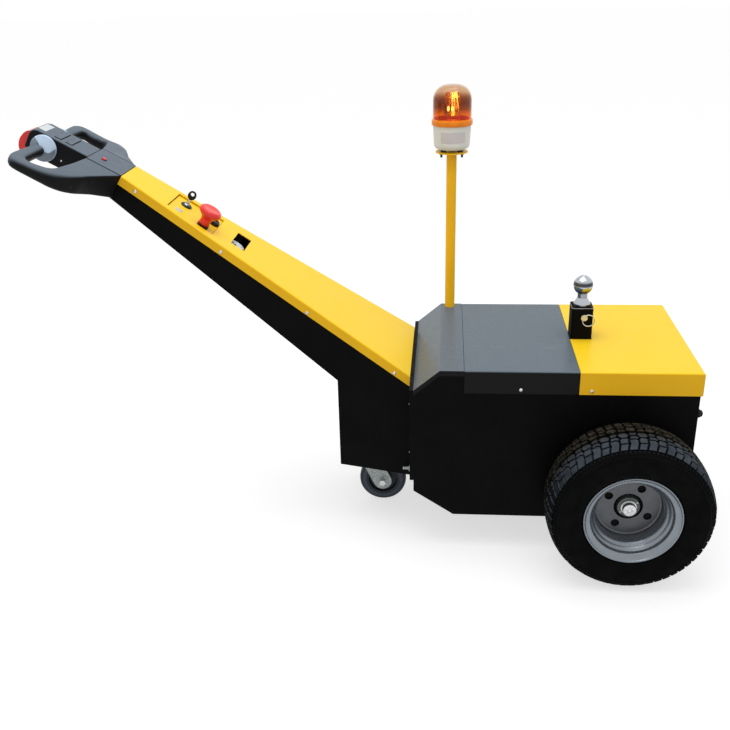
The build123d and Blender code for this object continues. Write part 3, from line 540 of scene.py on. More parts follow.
@dataclass(frozen=True)
class RingedRubber(Finish):
    """Caster rubber with a paler bluish ring on its side."""

    ring_colour: Colour = (0.075, 0.095, 0.125)
    ring: tuple[float, float] = (0.049, 0.057)

    def tinted(self, book: NodeBook) -> bpy.types.NodeSocket:
        """Builds the colour.

        Args:
            book: The material's nodes.

        Returns:
            The colour with its ring.
        """
        reach = book.reach(CASTER_AXLE)
        inner = book.span(reach, self.ring[0] - 0.003, self.ring[0] + 0.002)
        outer = book.span(reach, self.ring[1] - 0.001, self.ring[1] + 0.004, 1.0, 0.0)
        share = book.sum("MULTIPLY", inner, outer)
        return book.mixed(book.sum("MULTIPLY", share, 0.8), self.colour, self.ring_colour)


@dataclass(frozen=True)
class BandedChrome(Finish):
    """Polished chrome with darker bands set by the height of the normal: a painted reflection of a room round it."""

    painted_band_colour: Colour = (0.06, 0.065, 0.07)

    def tinted(self, book: NodeBook) -> bpy.types.NodeSocket:
        """Builds the colour.

        Args:
            book: The material's nodes.

        Returns:
            The colour with its painted reflection bands.
        """
        # Darker bands where the normal tilts: a painted reflection of the room.
        up = book.lift()
        low = book.span(up, -0.55, -0.15, 0.75, 0.0)
        middle = book.sum("MULTIPLY", book.span(up, -0.1, 0.12), book.span(up, 0.3, 0.55, 1.0, 0.0))
        share = book.sum("MINIMUM", book.sum("ADD", low, middle), 1.0)
        return book.mixed(share, self.colour, self.painted_band_colour)


@dataclass(frozen=True)
class Glowing(Finish):
    """A lit filament."""

    glow: float = 9.0

    def finer(self, book: NodeBook) -> None:
        """Lights the filament.

        Args:
            book: The material's nodes.
        """
        book.settle(Emission_Color=(*self.colour, 1.0), Emission_Strength=self.glow)


@dataclass(frozen=True)
class Spangled(Finish):
    """Zinc plate with its crystal pattern."""

    def tinted(self, book: NodeBook) -> bpy.types.NodeSocket:
        """Builds the colour.

        Args:
            book: The material's nodes.

        Returns:
            The colour of the plate's crystals.
        """
        dark = tuple(c * 0.62 for c in self.colour)
        return book.mixed(book.span(book.cells(160.0), 0.1, 0.6), self.colour, dark)


@dataclass(frozen=True)
class Lens(Finish):
    """Clear coloured plastic that light passes through, paler towards its top."""

    passing: float = 1.0
    low_colour: Colour = (0.95, 0.36, 0.04)
    cap_colour: Colour = (0.82, 0.62, 0.45)
    heights: tuple[float, float, float] = (1.055, 1.085, 1.125)

    def tinted(self, book: NodeBook) -> bpy.types.NodeSocket:
        """Builds the colour.

        Args:
            book: The material's nodes.

        Returns:
            The colour, which changes with the height.
        """
        height = book.along("Z")
        foot, waist, cap = self.heights
        colour = book.mixed(book.span(height, foot, waist), self.low_colour, self.colour)
        return book.mixed(book.span(height, waist + 0.015, cap), colour, self.cap_colour)

    def finer(self, book: NodeBook) -> None:
        """Lets light through.

        Args:
            book: The material's nodes.
        """
        book.settle(Transmission_Weight=self.passing, IOR=1.3)


class Slot(Enum):
    """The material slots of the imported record, each with its finish."""

    # The yellow paint's lighter top colour on faces that look up is painted light.
    YELLOW = Finish(
        "yellow_paint", (1.0, 0.55, 0.014), 0.36, specular=0.16, grain_scale=420.0, grain_depth=0.00007,
        mottle=0.03, painted_top_light=(0.96, 0.63, 0.018),
    )
    BLACK = Finish(
        "black_paint", (0.0024, 0.0024, 0.0026), 0.52, specular=0.05, grain_scale=520.0, grain_depth=0.00012,
        mottle=0.3, dust=0.004,
    )
    # The covers and the tiller take a painted reflection of the light above on faces that look up.
    COVER = ReflectionPaintedCoat(
        "cover_black", (0.0036, 0.0037, 0.004), 0.3, specular=0.12, grain_scale=420.0, grain_depth=0.00007
    )
    TILLER = ReflectionPaintedCoat(
        "tiller_plastic", (0.0048, 0.0052, 0.006), 0.5, specular=0.12, grain_scale=1400.0, grain_depth=0.00014,
        painted_reflection_colour=(0.12, 0.15, 0.185),
    )
    DARK = Finish("black_plastic", (0.006, 0.006, 0.007), 0.35, specular=0.35, grain_scale=1500.0)
    RED = Finish("red_plastic", (0.85, 0.035, 0.028), 0.26, specular=0.3, coat=0.2, mottle=0.05)
    PADDLE = Finish("paddle_plastic", (0.56, 0.7, 0.88), 0.32, specular=0.5, coat=0.3, mottle=0.06)
    GAUGE = Finish("gauge_plastic", (0.62, 0.66, 0.68), 0.35, mottle=0.06)
    AMBER = Lens("amber_lens", (0.4, 0.16, 0.06), 0.04, mottle=0.03, grain_depth=0.00001)
    CREAM = Finish("cream_plastic", (0.8, 0.81, 0.76), 0.4, specular=0.3, mottle=0.05)
    LAMP = Finish("lamp_metal", (1.0, 0.82, 0.42), 0.18, metallic=1.0, mottle=0.08, mottle_scale=60.0)
    # The chrome's darker bands are a painted reflection.
    CHROME = BandedChrome("chrome", (0.5, 0.53, 0.58), 0.09, metallic=1.0, grain_depth=0.00001)
    ZINC = Spangled("zinc", (0.42, 0.46, 0.45), 0.38, metallic=0.8)
    KEY = Finish("key_metal", (0.005, 0.005, 0.006), 0.5, specular=0.2)
    RIM = Finish(
        "rim_paint", (0.22, 0.25, 0.28), 0.3, metallic=0.75, coat=0.25, mottle=0.05, mottle_scale=38.0, dust=0.015
    )
    STEEL = Finish("steel", (0.6, 0.6, 0.6), 0.3, metallic=1.0, mottle=0.15, mottle_scale=60.0)
    IRON = Finish("cast_iron", (0.06, 0.063, 0.067), 0.6, grain_scale=420.0, grain_depth=0.0003, dust=0.1)
    BATTERY = Finish("battery_case", (0.025, 0.027, 0.032), 0.5, grain_scale=1200.0, dust=0.06)
    # The tyre's paler bluish block tops are a painted sheen.
    TYRE = Rubber("tyre_rubber", (0.0026, 0.0027, 0.003), 0.75, specular=0.05, grain_scale=1100.0, grain_depth=0.0001)
    CASTER = RingedRubber("caster_rubber", (0.009, 0.012, 0.019), 0.45, specular=0.3)
    BUFFER = Finish("buffer_rubber", (0.01, 0.01, 0.011), 0.6, specular=0.2)
    # A darker copy of the rim paint for the wheel disc: painted shade.
    RIM_SHADE = Finish(
        "rim_painted_shade", (0.105, 0.11, 0.12), 0.34, metallic=0.6, mottle=0.08, mottle_scale=38.0, stands_for="rim_paint"
    )
    # A darker copy of the paddle plastic for the lower facets: painted shade.
    SHADE = Finish("paddle_shade", (0.2, 0.25, 0.31), 0.32, mottle=0.06, stands_for="paddle_plastic")
    HUB = Finish(
        "hub_casting", (0.115, 0.13, 0.125), 0.42, metallic=0.5, grain_scale=600.0, grain_depth=0.0002, mottle=0.25,
        mottle_scale=50.0, stands_for="steel",
    )
    # Near-black for the hub flange behind the disc, seen through its holes: painted shade.
    HUB_SHADE = Finish("hub_painted_shade", (0.006, 0.006, 0.007), 0.7, specular=0.1, mottle=0.3, stands_for="steel")
    SCREW = Finish(
        "bright_screw", (0.62, 0.63, 0.64), 0.28, metallic=1.0, mottle=0.2, mottle_scale=200.0, stands_for="zinc"
    )
    # Near-black strips laid in the gaps round the panel, lid and rockers: painted shade.
    GAP_SHADE = Finish("painted_gap_shade", (0.003, 0.003, 0.003), 0.8, specular=0.05, stands_for="black_plastic")
    BAND = Finish(
        "amber_band", (0.95, 0.26, 0.008), 0.3, specular=0.2, coat=0.1, mottle=0.08, mottle_scale=50.0,
        stands_for="amber_lens",
    )
    LABEL = Finish("blank_label", (0.66, 0.62, 0.62), 0.45, mottle=0.06, stands_for="cream_plastic")
    DOT = Finish("pale_dot", (0.62, 0.56, 0.42), 0.5, mottle=0.1, mottle_scale=120.0, stands_for="gauge_plastic")
    # A bright metal line for the hitch post's top edge: a painted highlight.
    EDGE_HIGHLIGHT = Finish("painted_edge_highlight", (0.3, 0.31, 0.32), 0.4, metallic=0.7, mottle=0.4, mottle_scale=120.0, stands_for="steel")
    FILAMENT = Glowing("lit_filament", (1.0, 0.75, 0.35), 0.4, stands_for="lamp_metal")


class Paints:
    """The built materials, one for each slot."""

    made: dict[str, bpy.types.Material] = {}

    @classmethod
    def of(cls, slot: Slot) -> bpy.types.Material:
        """Returns a slot's material, built at its first use.

        Args:
            slot: The material slot.

        Returns:
            The material.
        """
        finish = slot.value
        if finish.name not in cls.made:
            cls.made[finish.name] = finish.build()
        return cls.made[finish.name]


def repaint(slot: Slot, *nodes: str) -> None:
    """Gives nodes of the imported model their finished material.

    Args:
        slot: The material slot.
        nodes: The nodes' names.
    """
    for name in nodes:
        for place in FRAME["nodes"][name].material_slots:
            place.material = Paints.of(slot)
        LOG.info("%s has the finish %s", name, slot.value.name)


class Form:
    """A mesh that is built up from turned, swept, lofted and boxed parts."""

    def __init__(self) -> None:
        """Starts an empty mesh."""
        self.mesh = bmesh.new()
        self.slots: list[Slot] = []
        self.current = 0

    def paint(self, slot: Slot) -> "Form":
        """Gives the parts that follow another finish.

        Args:
            slot: The finish's slot.

        Returns:
            The form.
        """
        if slot not in self.slots:
            self.slots.append(slot)
        self.current = self.slots.index(slot)
        return self

    def face(self, corners: list[bmesh.types.BMVert]) -> None:
        """Adds one face.

        Args:
            corners: The face's corners in order.
        """
        made = self.mesh.faces.new(corners)
        made.material_index = self.current

    def rings(self, rings: list[list[Vector]], closed: bool = False, capped: bool = False) -> "Form":
        """Joins rings of points by faces.

        Args:
            rings: Rings with the same number of points.
            closed: Whether the last ring joins the first.
            capped: Whether the two ends are closed.

        Returns:
            The form.
        """
        rows = [[self.mesh.verts.new(spot) for spot in ring] for ring in rings]
        for one, two in zip(rows, rows[1:] + (rows[:1] if closed else [])):
            for at in range(len(one)):
                after = (at + 1) % len(one)
                self.face([one[at], one[after], two[after], two[at]])
        if capped:
            self.face(list(reversed(rows[0])))
            self.face(rows[-1])
        return self

    def turned(self, profile: list[Point], place: Matrix, steps: int = 96, closed: bool = True) -> "Form":
        """Turns a profile about the Z axis of a place.

        Args:
            profile: Points as (radius, height).
            place: Where the profile's origin is.
            steps: How many faces go round.
            closed: Whether the profile is a closed outline.

        Returns:
            The form.
        """
        rings = [[place @ Vector((x, y, height)) for x, y in circle(radius, steps)] for radius, height in profile]
        return self.rings(rings, closed=closed)

    def strip(self, rows: list[list[Vector]]) -> None:
        """Joins open rows of points by faces.

        Args:
            rows: Rows with the same number of points.
        """
        for one, two in zip(rows, rows[1:]):
            for at in range(len(one) - 1):
                spots = (one[at], one[at + 1], two[at + 1], two[at])
                self.face([self.mesh.verts.new(spot) for spot in spots])

    def prism(
        self, outline: list[Point], low: float, high: float, place: Matrix, edge: float = 0.0, segments: int = 2
    ) -> "Form":
        """Raises an outline between two heights.

        Args:
            outline: Points in the place's XY plane.
            low: The lower height.
            high: The upper height.
            place: Where the outline's origin is.
            edge: The radius of the rounded edges.
            segments: Faces across a rounded edge.

        Returns:
            The form.
        """
        sides = [[place @ Vector((x, y, z)) for x, y in outline] for z in (low, high)]
        before = set(self.mesh.faces)
        self.rings(sides, capped=True)
        if edge > 0:
            fresh = [made for made in self.mesh.faces if made not in before]
            edges = {rim for made in fresh for rim in made.edges}
            bmesh.ops.bevel(
                self.mesh, geom=list(edges), offset=edge, segments=segments, profile=0.5, affect="EDGES",
                clamp_overlap=True,
            )
        return self

    def box(self, low: Spot, high: Spot, place: Matrix, edge: float = 0.0) -> "Form":
        """Adds a box between two corners.

        Args:
            low: The lowest corner.
            high: The highest corner.
            place: Where the corners are measured from.
            edge: The radius of the rounded edges.

        Returns:
            The form.
        """
        outline = [(low[0], low[1]), (high[0], low[1]), (high[0], high[1]), (low[0], high[1])]
        return self.prism(outline, low[2], high[2], place, edge)

    def plate(self, rim: list[Point], holes: list[list[Point]], low: float, high: float, place: Matrix) -> "Form":
        """Adds a flat plate with holes.

        Args:
            rim: The plate's outline in the place's XY plane.
            holes: The outlines of its holes.
            low: The lower height.
            high: The upper height.
            place: Where the outlines' origin is.

        Returns:
            The form.
        """
        for height in (low, high):
            edges = []
            for outline in [rim, *holes]:
                verts = [self.mesh.verts.new(place @ Vector((x, y, height))) for x, y in outline]
                edges += [self.mesh.edges.new((one, two)) for one, two in zip(verts, verts[1:] + verts[:1])]
            filled = bmesh.ops.triangle_fill(self.mesh, use_beauty=True, edges=edges)
            for made in filled["geom"]:
                if isinstance(made, bmesh.types.BMFace):
                    made.material_index = self.current
        for outline in [rim, *holes]:
            self.rings([[place @ Vector((x, y, z)) for x, y in outline] for z in (low, high)])
        return self

    def swept(self, path: list[Vector], radius: float, sides: int = 16, closed: bool = False) -> "Form":
        """Sweeps a round section along a path.

        Args:
            path: The points on the path.
            radius: The section's radius.
            sides: Faces round the section.
            closed: Whether the path is a loop.

        Returns:
            The form.
        """
        rings = []
        count = len(path)
        across = None
        for at, spot in enumerate(path):
            after = path[(at + 1) % count] if closed else path[min(at + 1, count - 1)]
            before = path[at - 1] if closed or at > 0 else path[0]
            along = (after - before).normalized()
            if across is None:
                across = along.orthogonal().normalized()
            across = (across - along * across.dot(along)).normalized()
            other = along.cross(across)
            rings.append([spot + a * across + b * other for a, b in circle(radius, sides)])
        return self.rings(rings, closed=closed, capped=not closed)

    def ended(self, name: str) -> bpy.types.Object:
        """Ends the mesh as an object, its faces turned outwards.

        Args:
            name: The object's name.

        Returns:
            The object.
        """
        bmesh.ops.recalc_face_normals(self.mesh, faces=self.mesh.faces)
        data = bpy.data.meshes.new(name)
        self.mesh.to_mesh(data)
        self.mesh.free()
        return linked(name, data)

    def merged(self) -> "Form":
        """Merges the points that lie together."""
        bmesh.ops.remove_doubles(self.mesh, verts=self.mesh.verts, dist=MERGED)
        return self

    def piece(
        self, name: str, slot: Slot, body: Body, replaced: tuple[str, ...] = (), crease: float = 38.0
    ) -> bpy.types.Object:
        """Ends the mesh and hands it to the frame.

        Args:
            name: The piece's name.
            slot: The material slot that the piece takes its finish from.
            body: The body that it rides on.
            replaced: The nodes that it stands for.
            crease: The angle in degrees past which an edge stays sharp.

        Returns:
            The piece.
        """
        made = self.merged().ended(name)
        for used in self.slots or [slot]:
            made.data.materials.append(Paints.of(used))
        smoothed(made.data, crease)
        return handed(made, body, replaced)


def linked(name: str, data: object) -> bpy.types.Object:
    """Puts data into the scene as an object.

    Args:
        name: The object's name.
        data: Its mesh, lamp or camera.

    Returns:
        The object.
    """
    made = bpy.data.objects.new(name, data)
    bpy.context.scene.collection.objects.link(made)
    return made


def smoothed(data: bpy.types.Mesh, crease: float) -> None:
    """Shades a mesh smooth between its sharp edges.

    Args:
        data: The mesh.
        crease: The angle in degrees past which an edge stays sharp.
    """
    data.polygons.foreach_set("use_smooth", [True] * len(data.polygons))
    data.set_sharp_from_angle(angle=math.radians(crease))


def handed(made: bpy.types.Object, body: Body, replaced: tuple[str, ...] = ()) -> bpy.types.Object:
    """Hands a finished piece to the frame.

    Args:
        made: The piece.
        body: The body that it rides on.
        replaced: The nodes that it stands for.

    Returns:
        The same piece.
    """
    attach(made, body.value)
    if replaced:
        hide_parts(*replaced)
    LOG.info("%s rides on %s with %d faces", made.name, body.value, len(made.data.polygons))
    return made


class Repeater(TreeBook):
    """A Geometry Nodes tree that repeats one shape over places."""

    def __init__(self, name: str, **inputs: str) -> None:
        """Starts a tree with its geometry sockets.

        Args:
            name: The tree's name.
            inputs: The type of each named input.
        """
        super().__init__(bpy.data.node_groups.new(name, "GeometryNodeTree"))
        for way in ("INPUT", "OUTPUT"):
            self.tree.interface.new_socket("Geometry", in_out=way, socket_type="NodeSocketGeometry")
        self.names = {
            key: self.tree.interface.new_socket(key, in_out="INPUT", socket_type=kind).identifier
            for key, kind in inputs.items()
        }
        self.source = self.node("NodeGroupInput")

    def outlet(self, name: str) -> bpy.types.NodeSocket:
        """Returns the output that carries a named input."""
        return self.source.outputs[name]

    def spread(self, points: object, rotation: object) -> None:
        """Sets the input Shape on points, and ends the tree.

        Args:
            points: The points' geometry.
            rotation: Each point's turn.
        """
        shape = self.node("GeometryNodeObjectInfo", {"Object": self.outlet("Shape")}).outputs["Geometry"]
        inputs = {"Points": points, "Instance": shape, "Rotation": rotation}
        self.end(self.node("GeometryNodeInstanceOnPoints", inputs).outputs[0])

    def end(self, geometry: bpy.types.NodeSocket) -> None:
        """Ends the tree in Realize Instances and Set Material.

        Args:
            geometry: The instances.
        """
        real = self.node("GeometryNodeRealizeInstances", {0: geometry})
        inputs = {"Geometry": real.outputs[0], "Material": self.outlet("Finish")}
        self.node("NodeGroupOutput", {0: self.node("GeometryNodeSetMaterial", inputs).outputs[0]})

    def grow(self, name: str, seed_mesh: bpy.types.Mesh, crease: float = 38.0, **values: object) -> bpy.types.Object:
        """Runs the tree on a mesh and keeps the result as a plain mesh.

        Args:
            name: The piece's name.
            seed_mesh: The mesh that the tree starts from.
            crease: The angle in degrees past which an edge stays sharp.
            values: The named inputs' values, with _ for a space.

        Returns:
            The finished piece.
        """
        carrier = linked(name + "_seed", seed_mesh)
        modifier = carrier.modifiers.new("repeat", "NODES")
        modifier.node_group = self.tree
        for key, value in values.items():
            modifier[self.names[key.replace("_", " ")]] = value
        graph = bpy.context.evaluated_depsgraph_get()
        data = bpy.data.meshes.new_from_object(carrier.evaluated_get(graph))
        bpy.data.objects.remove(carrier)
        data.name = name
        smoothed(data, crease)
        return linked(name, data)


def round_repeater() -> Repeater:
    """Builds the tree that repeats a shape round a wheel's axle.

    Returns:
        The tree, with the inputs Shape, Centre, Count and Finish.
    """
    book = Repeater(
        "around_the_axle", Shape="NodeSocketObject", Centre="NodeSocketVector", Count="NodeSocketInt",
        Finish="NodeSocketMaterial",
    )
    count = book.outlet("Count")
    inputs = {"Offset": (0.0, 0.0, 0.0), "Count": count, "Start Location": book.outlet("Centre")}
    line = book.node("GeometryNodeMeshLine", inputs, mode="OFFSET")
    index = book.node("GeometryNodeInputIndex").outputs[0]
    share = book.node("ShaderNodeMath", {0: index, 1: count}, operation="DIVIDE").outputs[0]
    turn = book.node("ShaderNodeMath", {0: share, 1: 2 * math.pi}, operation="MULTIPLY").outputs[0]
    book.spread(line.outputs[0], book.node("ShaderNodeCombineXYZ", {"Y": turn}).outputs[0])
    return book


def spot_repeater() -> Repeater:
    """Builds the tree that sets a shape on given places.

    Returns:
        The tree, with the inputs Shape and Finish; it reads each place's turn.
    """
    book = Repeater("on_the_spots", Shape="NodeSocketObject", Finish="NodeSocketMaterial")
    turn = book.node("GeometryNodeInputNamedAttribute", {"Name": "turn"}, data_type="FLOAT_VECTOR")
    book.spread(book.outlet("Geometry"), turn.outputs["Attribute"])
    return book


@dataclass
class Screws:
    """Dome-headed screws with a socket, all of one size and on one body."""

    name: str
    radius: float = 0.0048
    height: float = 0.0028
    body: Body = Body.CHASSIS
    finish: Slot = Slot.SCREW

    def shape(self) -> bpy.types.Object:
        """Builds one screw head.

        Returns:
            An object that only the tree reads.
        """
        form = Form()
        r = self.radius
        h = self.height
        profile = [
            (r, -0.0008), (r, h * 0.12), (r * 0.93, h * 0.45), (r * 0.74, h * 0.78), (r * 0.5, h * 0.96),
            (r * 0.36, h),
        ]
        form.turned(profile, Matrix(), 20, closed=False)
        form.turned([(r * 0.36, h), (r * 0.33, h * 0.45), (0.0, h * 0.35)], Matrix(), 20, closed=False)
        return form.merged().ended(self.name + "_shape")

    def build(self, places: list[Matrix]) -> None:
        """Sets the screws on their places.

        Args:
            places: The middle of each head's seat, its Z pointing out.
        """
        spots = bpy.data.meshes.new(self.name + "_spots")
        spots.from_pydata([tuple(place.translation) for place in places], [], [])
        turns = spots.attributes.new("turn", "FLOAT_VECTOR", "POINT")
        for at, place in enumerate(places):
            turns.data[at].vector = place.to_euler("XYZ")
        shape = self.shape()
        made = spot_repeater().grow(self.name, spots, 40.0, Shape=shape, Finish=Paints.of(self.finish))
        bpy.data.objects.remove(shape)
        handed(made, self.body)


def facing(spot: Spot, normal: Spot) -> Matrix:
    """Makes a place on a wall of the machine.

    Args:
        spot: The place's origin, X from the drive axle.
        normal: The direction in which its Z points.

    Returns:
        The place.
    """
    turn = Vector(normal).to_track_quat("Z", "Y").to_matrix().to_4x4()
    return Matrix.Translation(Vector(spot) + Vector((AXLE.x, 0.0, 0.0))) @ turn


@dataclass
class Studio:
    """The camera of the photograph, a pale floor and soft light."""

    camera_place: Spot = (-0.455, -2.3207, 1.4366)
    yaw: float = -0.0936
    pitch: float = 0.4112
    roll: float = 0.0265
    focal_pixels: float = 916.9
    image_pixels: float = 730.0
    sensor: float = 36.0
    floor_size: float = 60.0
    floor_colour: Colour = (0.5, 0.5, 0.5)
    floor_glow: float = 0.62
    sky_strength: float = 0.74
    softbox_power: float = 40.0

    def camera(self) -> None:
        """Sets the camera where the photograph was taken from."""
        flat = math.cos(self.pitch)
        ahead = Vector((math.sin(self.yaw) * flat, math.cos(self.yaw) * flat, -math.sin(self.pitch)))
        level = Vector((math.cos(self.yaw), -math.sin(self.yaw), 0.0))
        below = ahead.cross(level)
        right = math.cos(self.roll) * level + math.sin(self.roll) * below
        down = -math.sin(self.roll) * level + math.cos(self.roll) * below
        turn = Matrix((right, -down, -ahead)).transposed().to_4x4()
        lens = bpy.data.cameras.new("camera")
        lens.sensor_width = self.sensor
        lens.lens = self.focal_pixels / self.image_pixels * self.sensor
        made = linked("camera", lens)
        made.matrix_world = Matrix.Translation(Vector(self.camera_place) + Vector((AXLE.x, 0, 0))) @ turn
        bpy.context.scene.camera = made

    @staticmethod
    def seen_rays(tree: bpy.types.NodeTree) -> bpy.types.NodeSocket:
        """Adds nodes that tell rays that see the background.

        Args:
            tree: The node tree.

        Returns:
            1 for camera, glossy and transmission rays, or else 0.
        """
        rays = tree.nodes.new("ShaderNodeLightPath")
        total = rays.outputs["Is Camera Ray"]
        for name in ("Is Glossy Ray", "Is Transmission Ray"):
            either = tree.nodes.new("ShaderNodeMath")
            either.operation = "MAXIMUM"
            tree.links.new(total, either.inputs[0])
            tree.links.new(rays.outputs[name], either.inputs[1])
            total = either.outputs[0]
        return total

    def world(self) -> None:
        """Makes the sky: plain light, and white where it is seen."""
        world = bpy.data.worlds.new("studio")
        bpy.context.scene.world = world
        world.use_nodes = True
        tree = world.node_tree
        light = tree.nodes["Background"]
        light.inputs["Color"].default_value = (1.0, 1.0, 1.0, 1.0)
        strength = tree.nodes.new("ShaderNodeMapRange")
        strength.inputs["To Min"].default_value = self.sky_strength
        strength.inputs["To Max"].default_value = 1.0
        tree.links.new(self.seen_rays(tree), strength.inputs["Value"])
        tree.links.new(strength.outputs["Result"], light.inputs["Strength"])

    def floor(self) -> None:
        """Makes the floor, white where it is seen, with the machine's shadow."""
        material = bpy.data.materials.new("studio_floor")
        material.use_nodes = True
        tree = material.node_tree
        shader = tree.nodes["Principled BSDF"]
        shader.inputs["Base Color"].default_value = (*self.floor_colour, 1.0)
        shader.inputs["Roughness"].default_value = 1.0
        shader.inputs["Specular IOR Level"].default_value = 0.0
        shader.inputs["Emission Color"].default_value = (1.0, 1.0, 1.0, 1.0)
        glow = tree.nodes.new("ShaderNodeMath")
        glow.operation = "MULTIPLY"
        glow.inputs[1].default_value = self.floor_glow
        tree.links.new(self.seen_rays(tree), glow.inputs[0])
        tree.links.new(glow.outputs[0], shader.inputs["Emission Strength"])
        half = self.floor_size / 2
        data = bpy.data.meshes.new("floor")
        data.from_pydata([(-half, -half, 0), (half, -half, 0), (half, half, 0), (-half, half, 0)], [], [(0, 1, 2, 3)])
        data.materials.append(material)
        linked("floor", data)

    def softbox(self, name: str, place: Spot, target: Spot, size: float, power: float) -> None:
        """Hangs one soft lamp.

        Args:
            name: The lamp's name.
            place: Where it hangs.
            target: What it looks at.
            size: The length of its sides.
            power: Its power in watts.
        """
        lamp = bpy.data.lights.new(name, "AREA")
        lamp.size = size
        lamp.energy = power
        made = linked(name, lamp)
        aim = Vector(target) - Vector(place)
        made.matrix_world = Matrix.Translation(place) @ aim.to_track_quat("-Z", "Y").to_matrix().to_4x4()

    def build(self) -> None:
        """Builds the studio."""
        self.camera()
        self.world()
        self.floor()
        self.softbox("softbox_above", (0.1, -0.2, 3.2), (0.0, 0.0, 0.0), 2.6, self.softbox_power)
        settings = bpy.context.scene.view_settings
        settings.view_transform = "Standard"
        LOG.info("studio built")


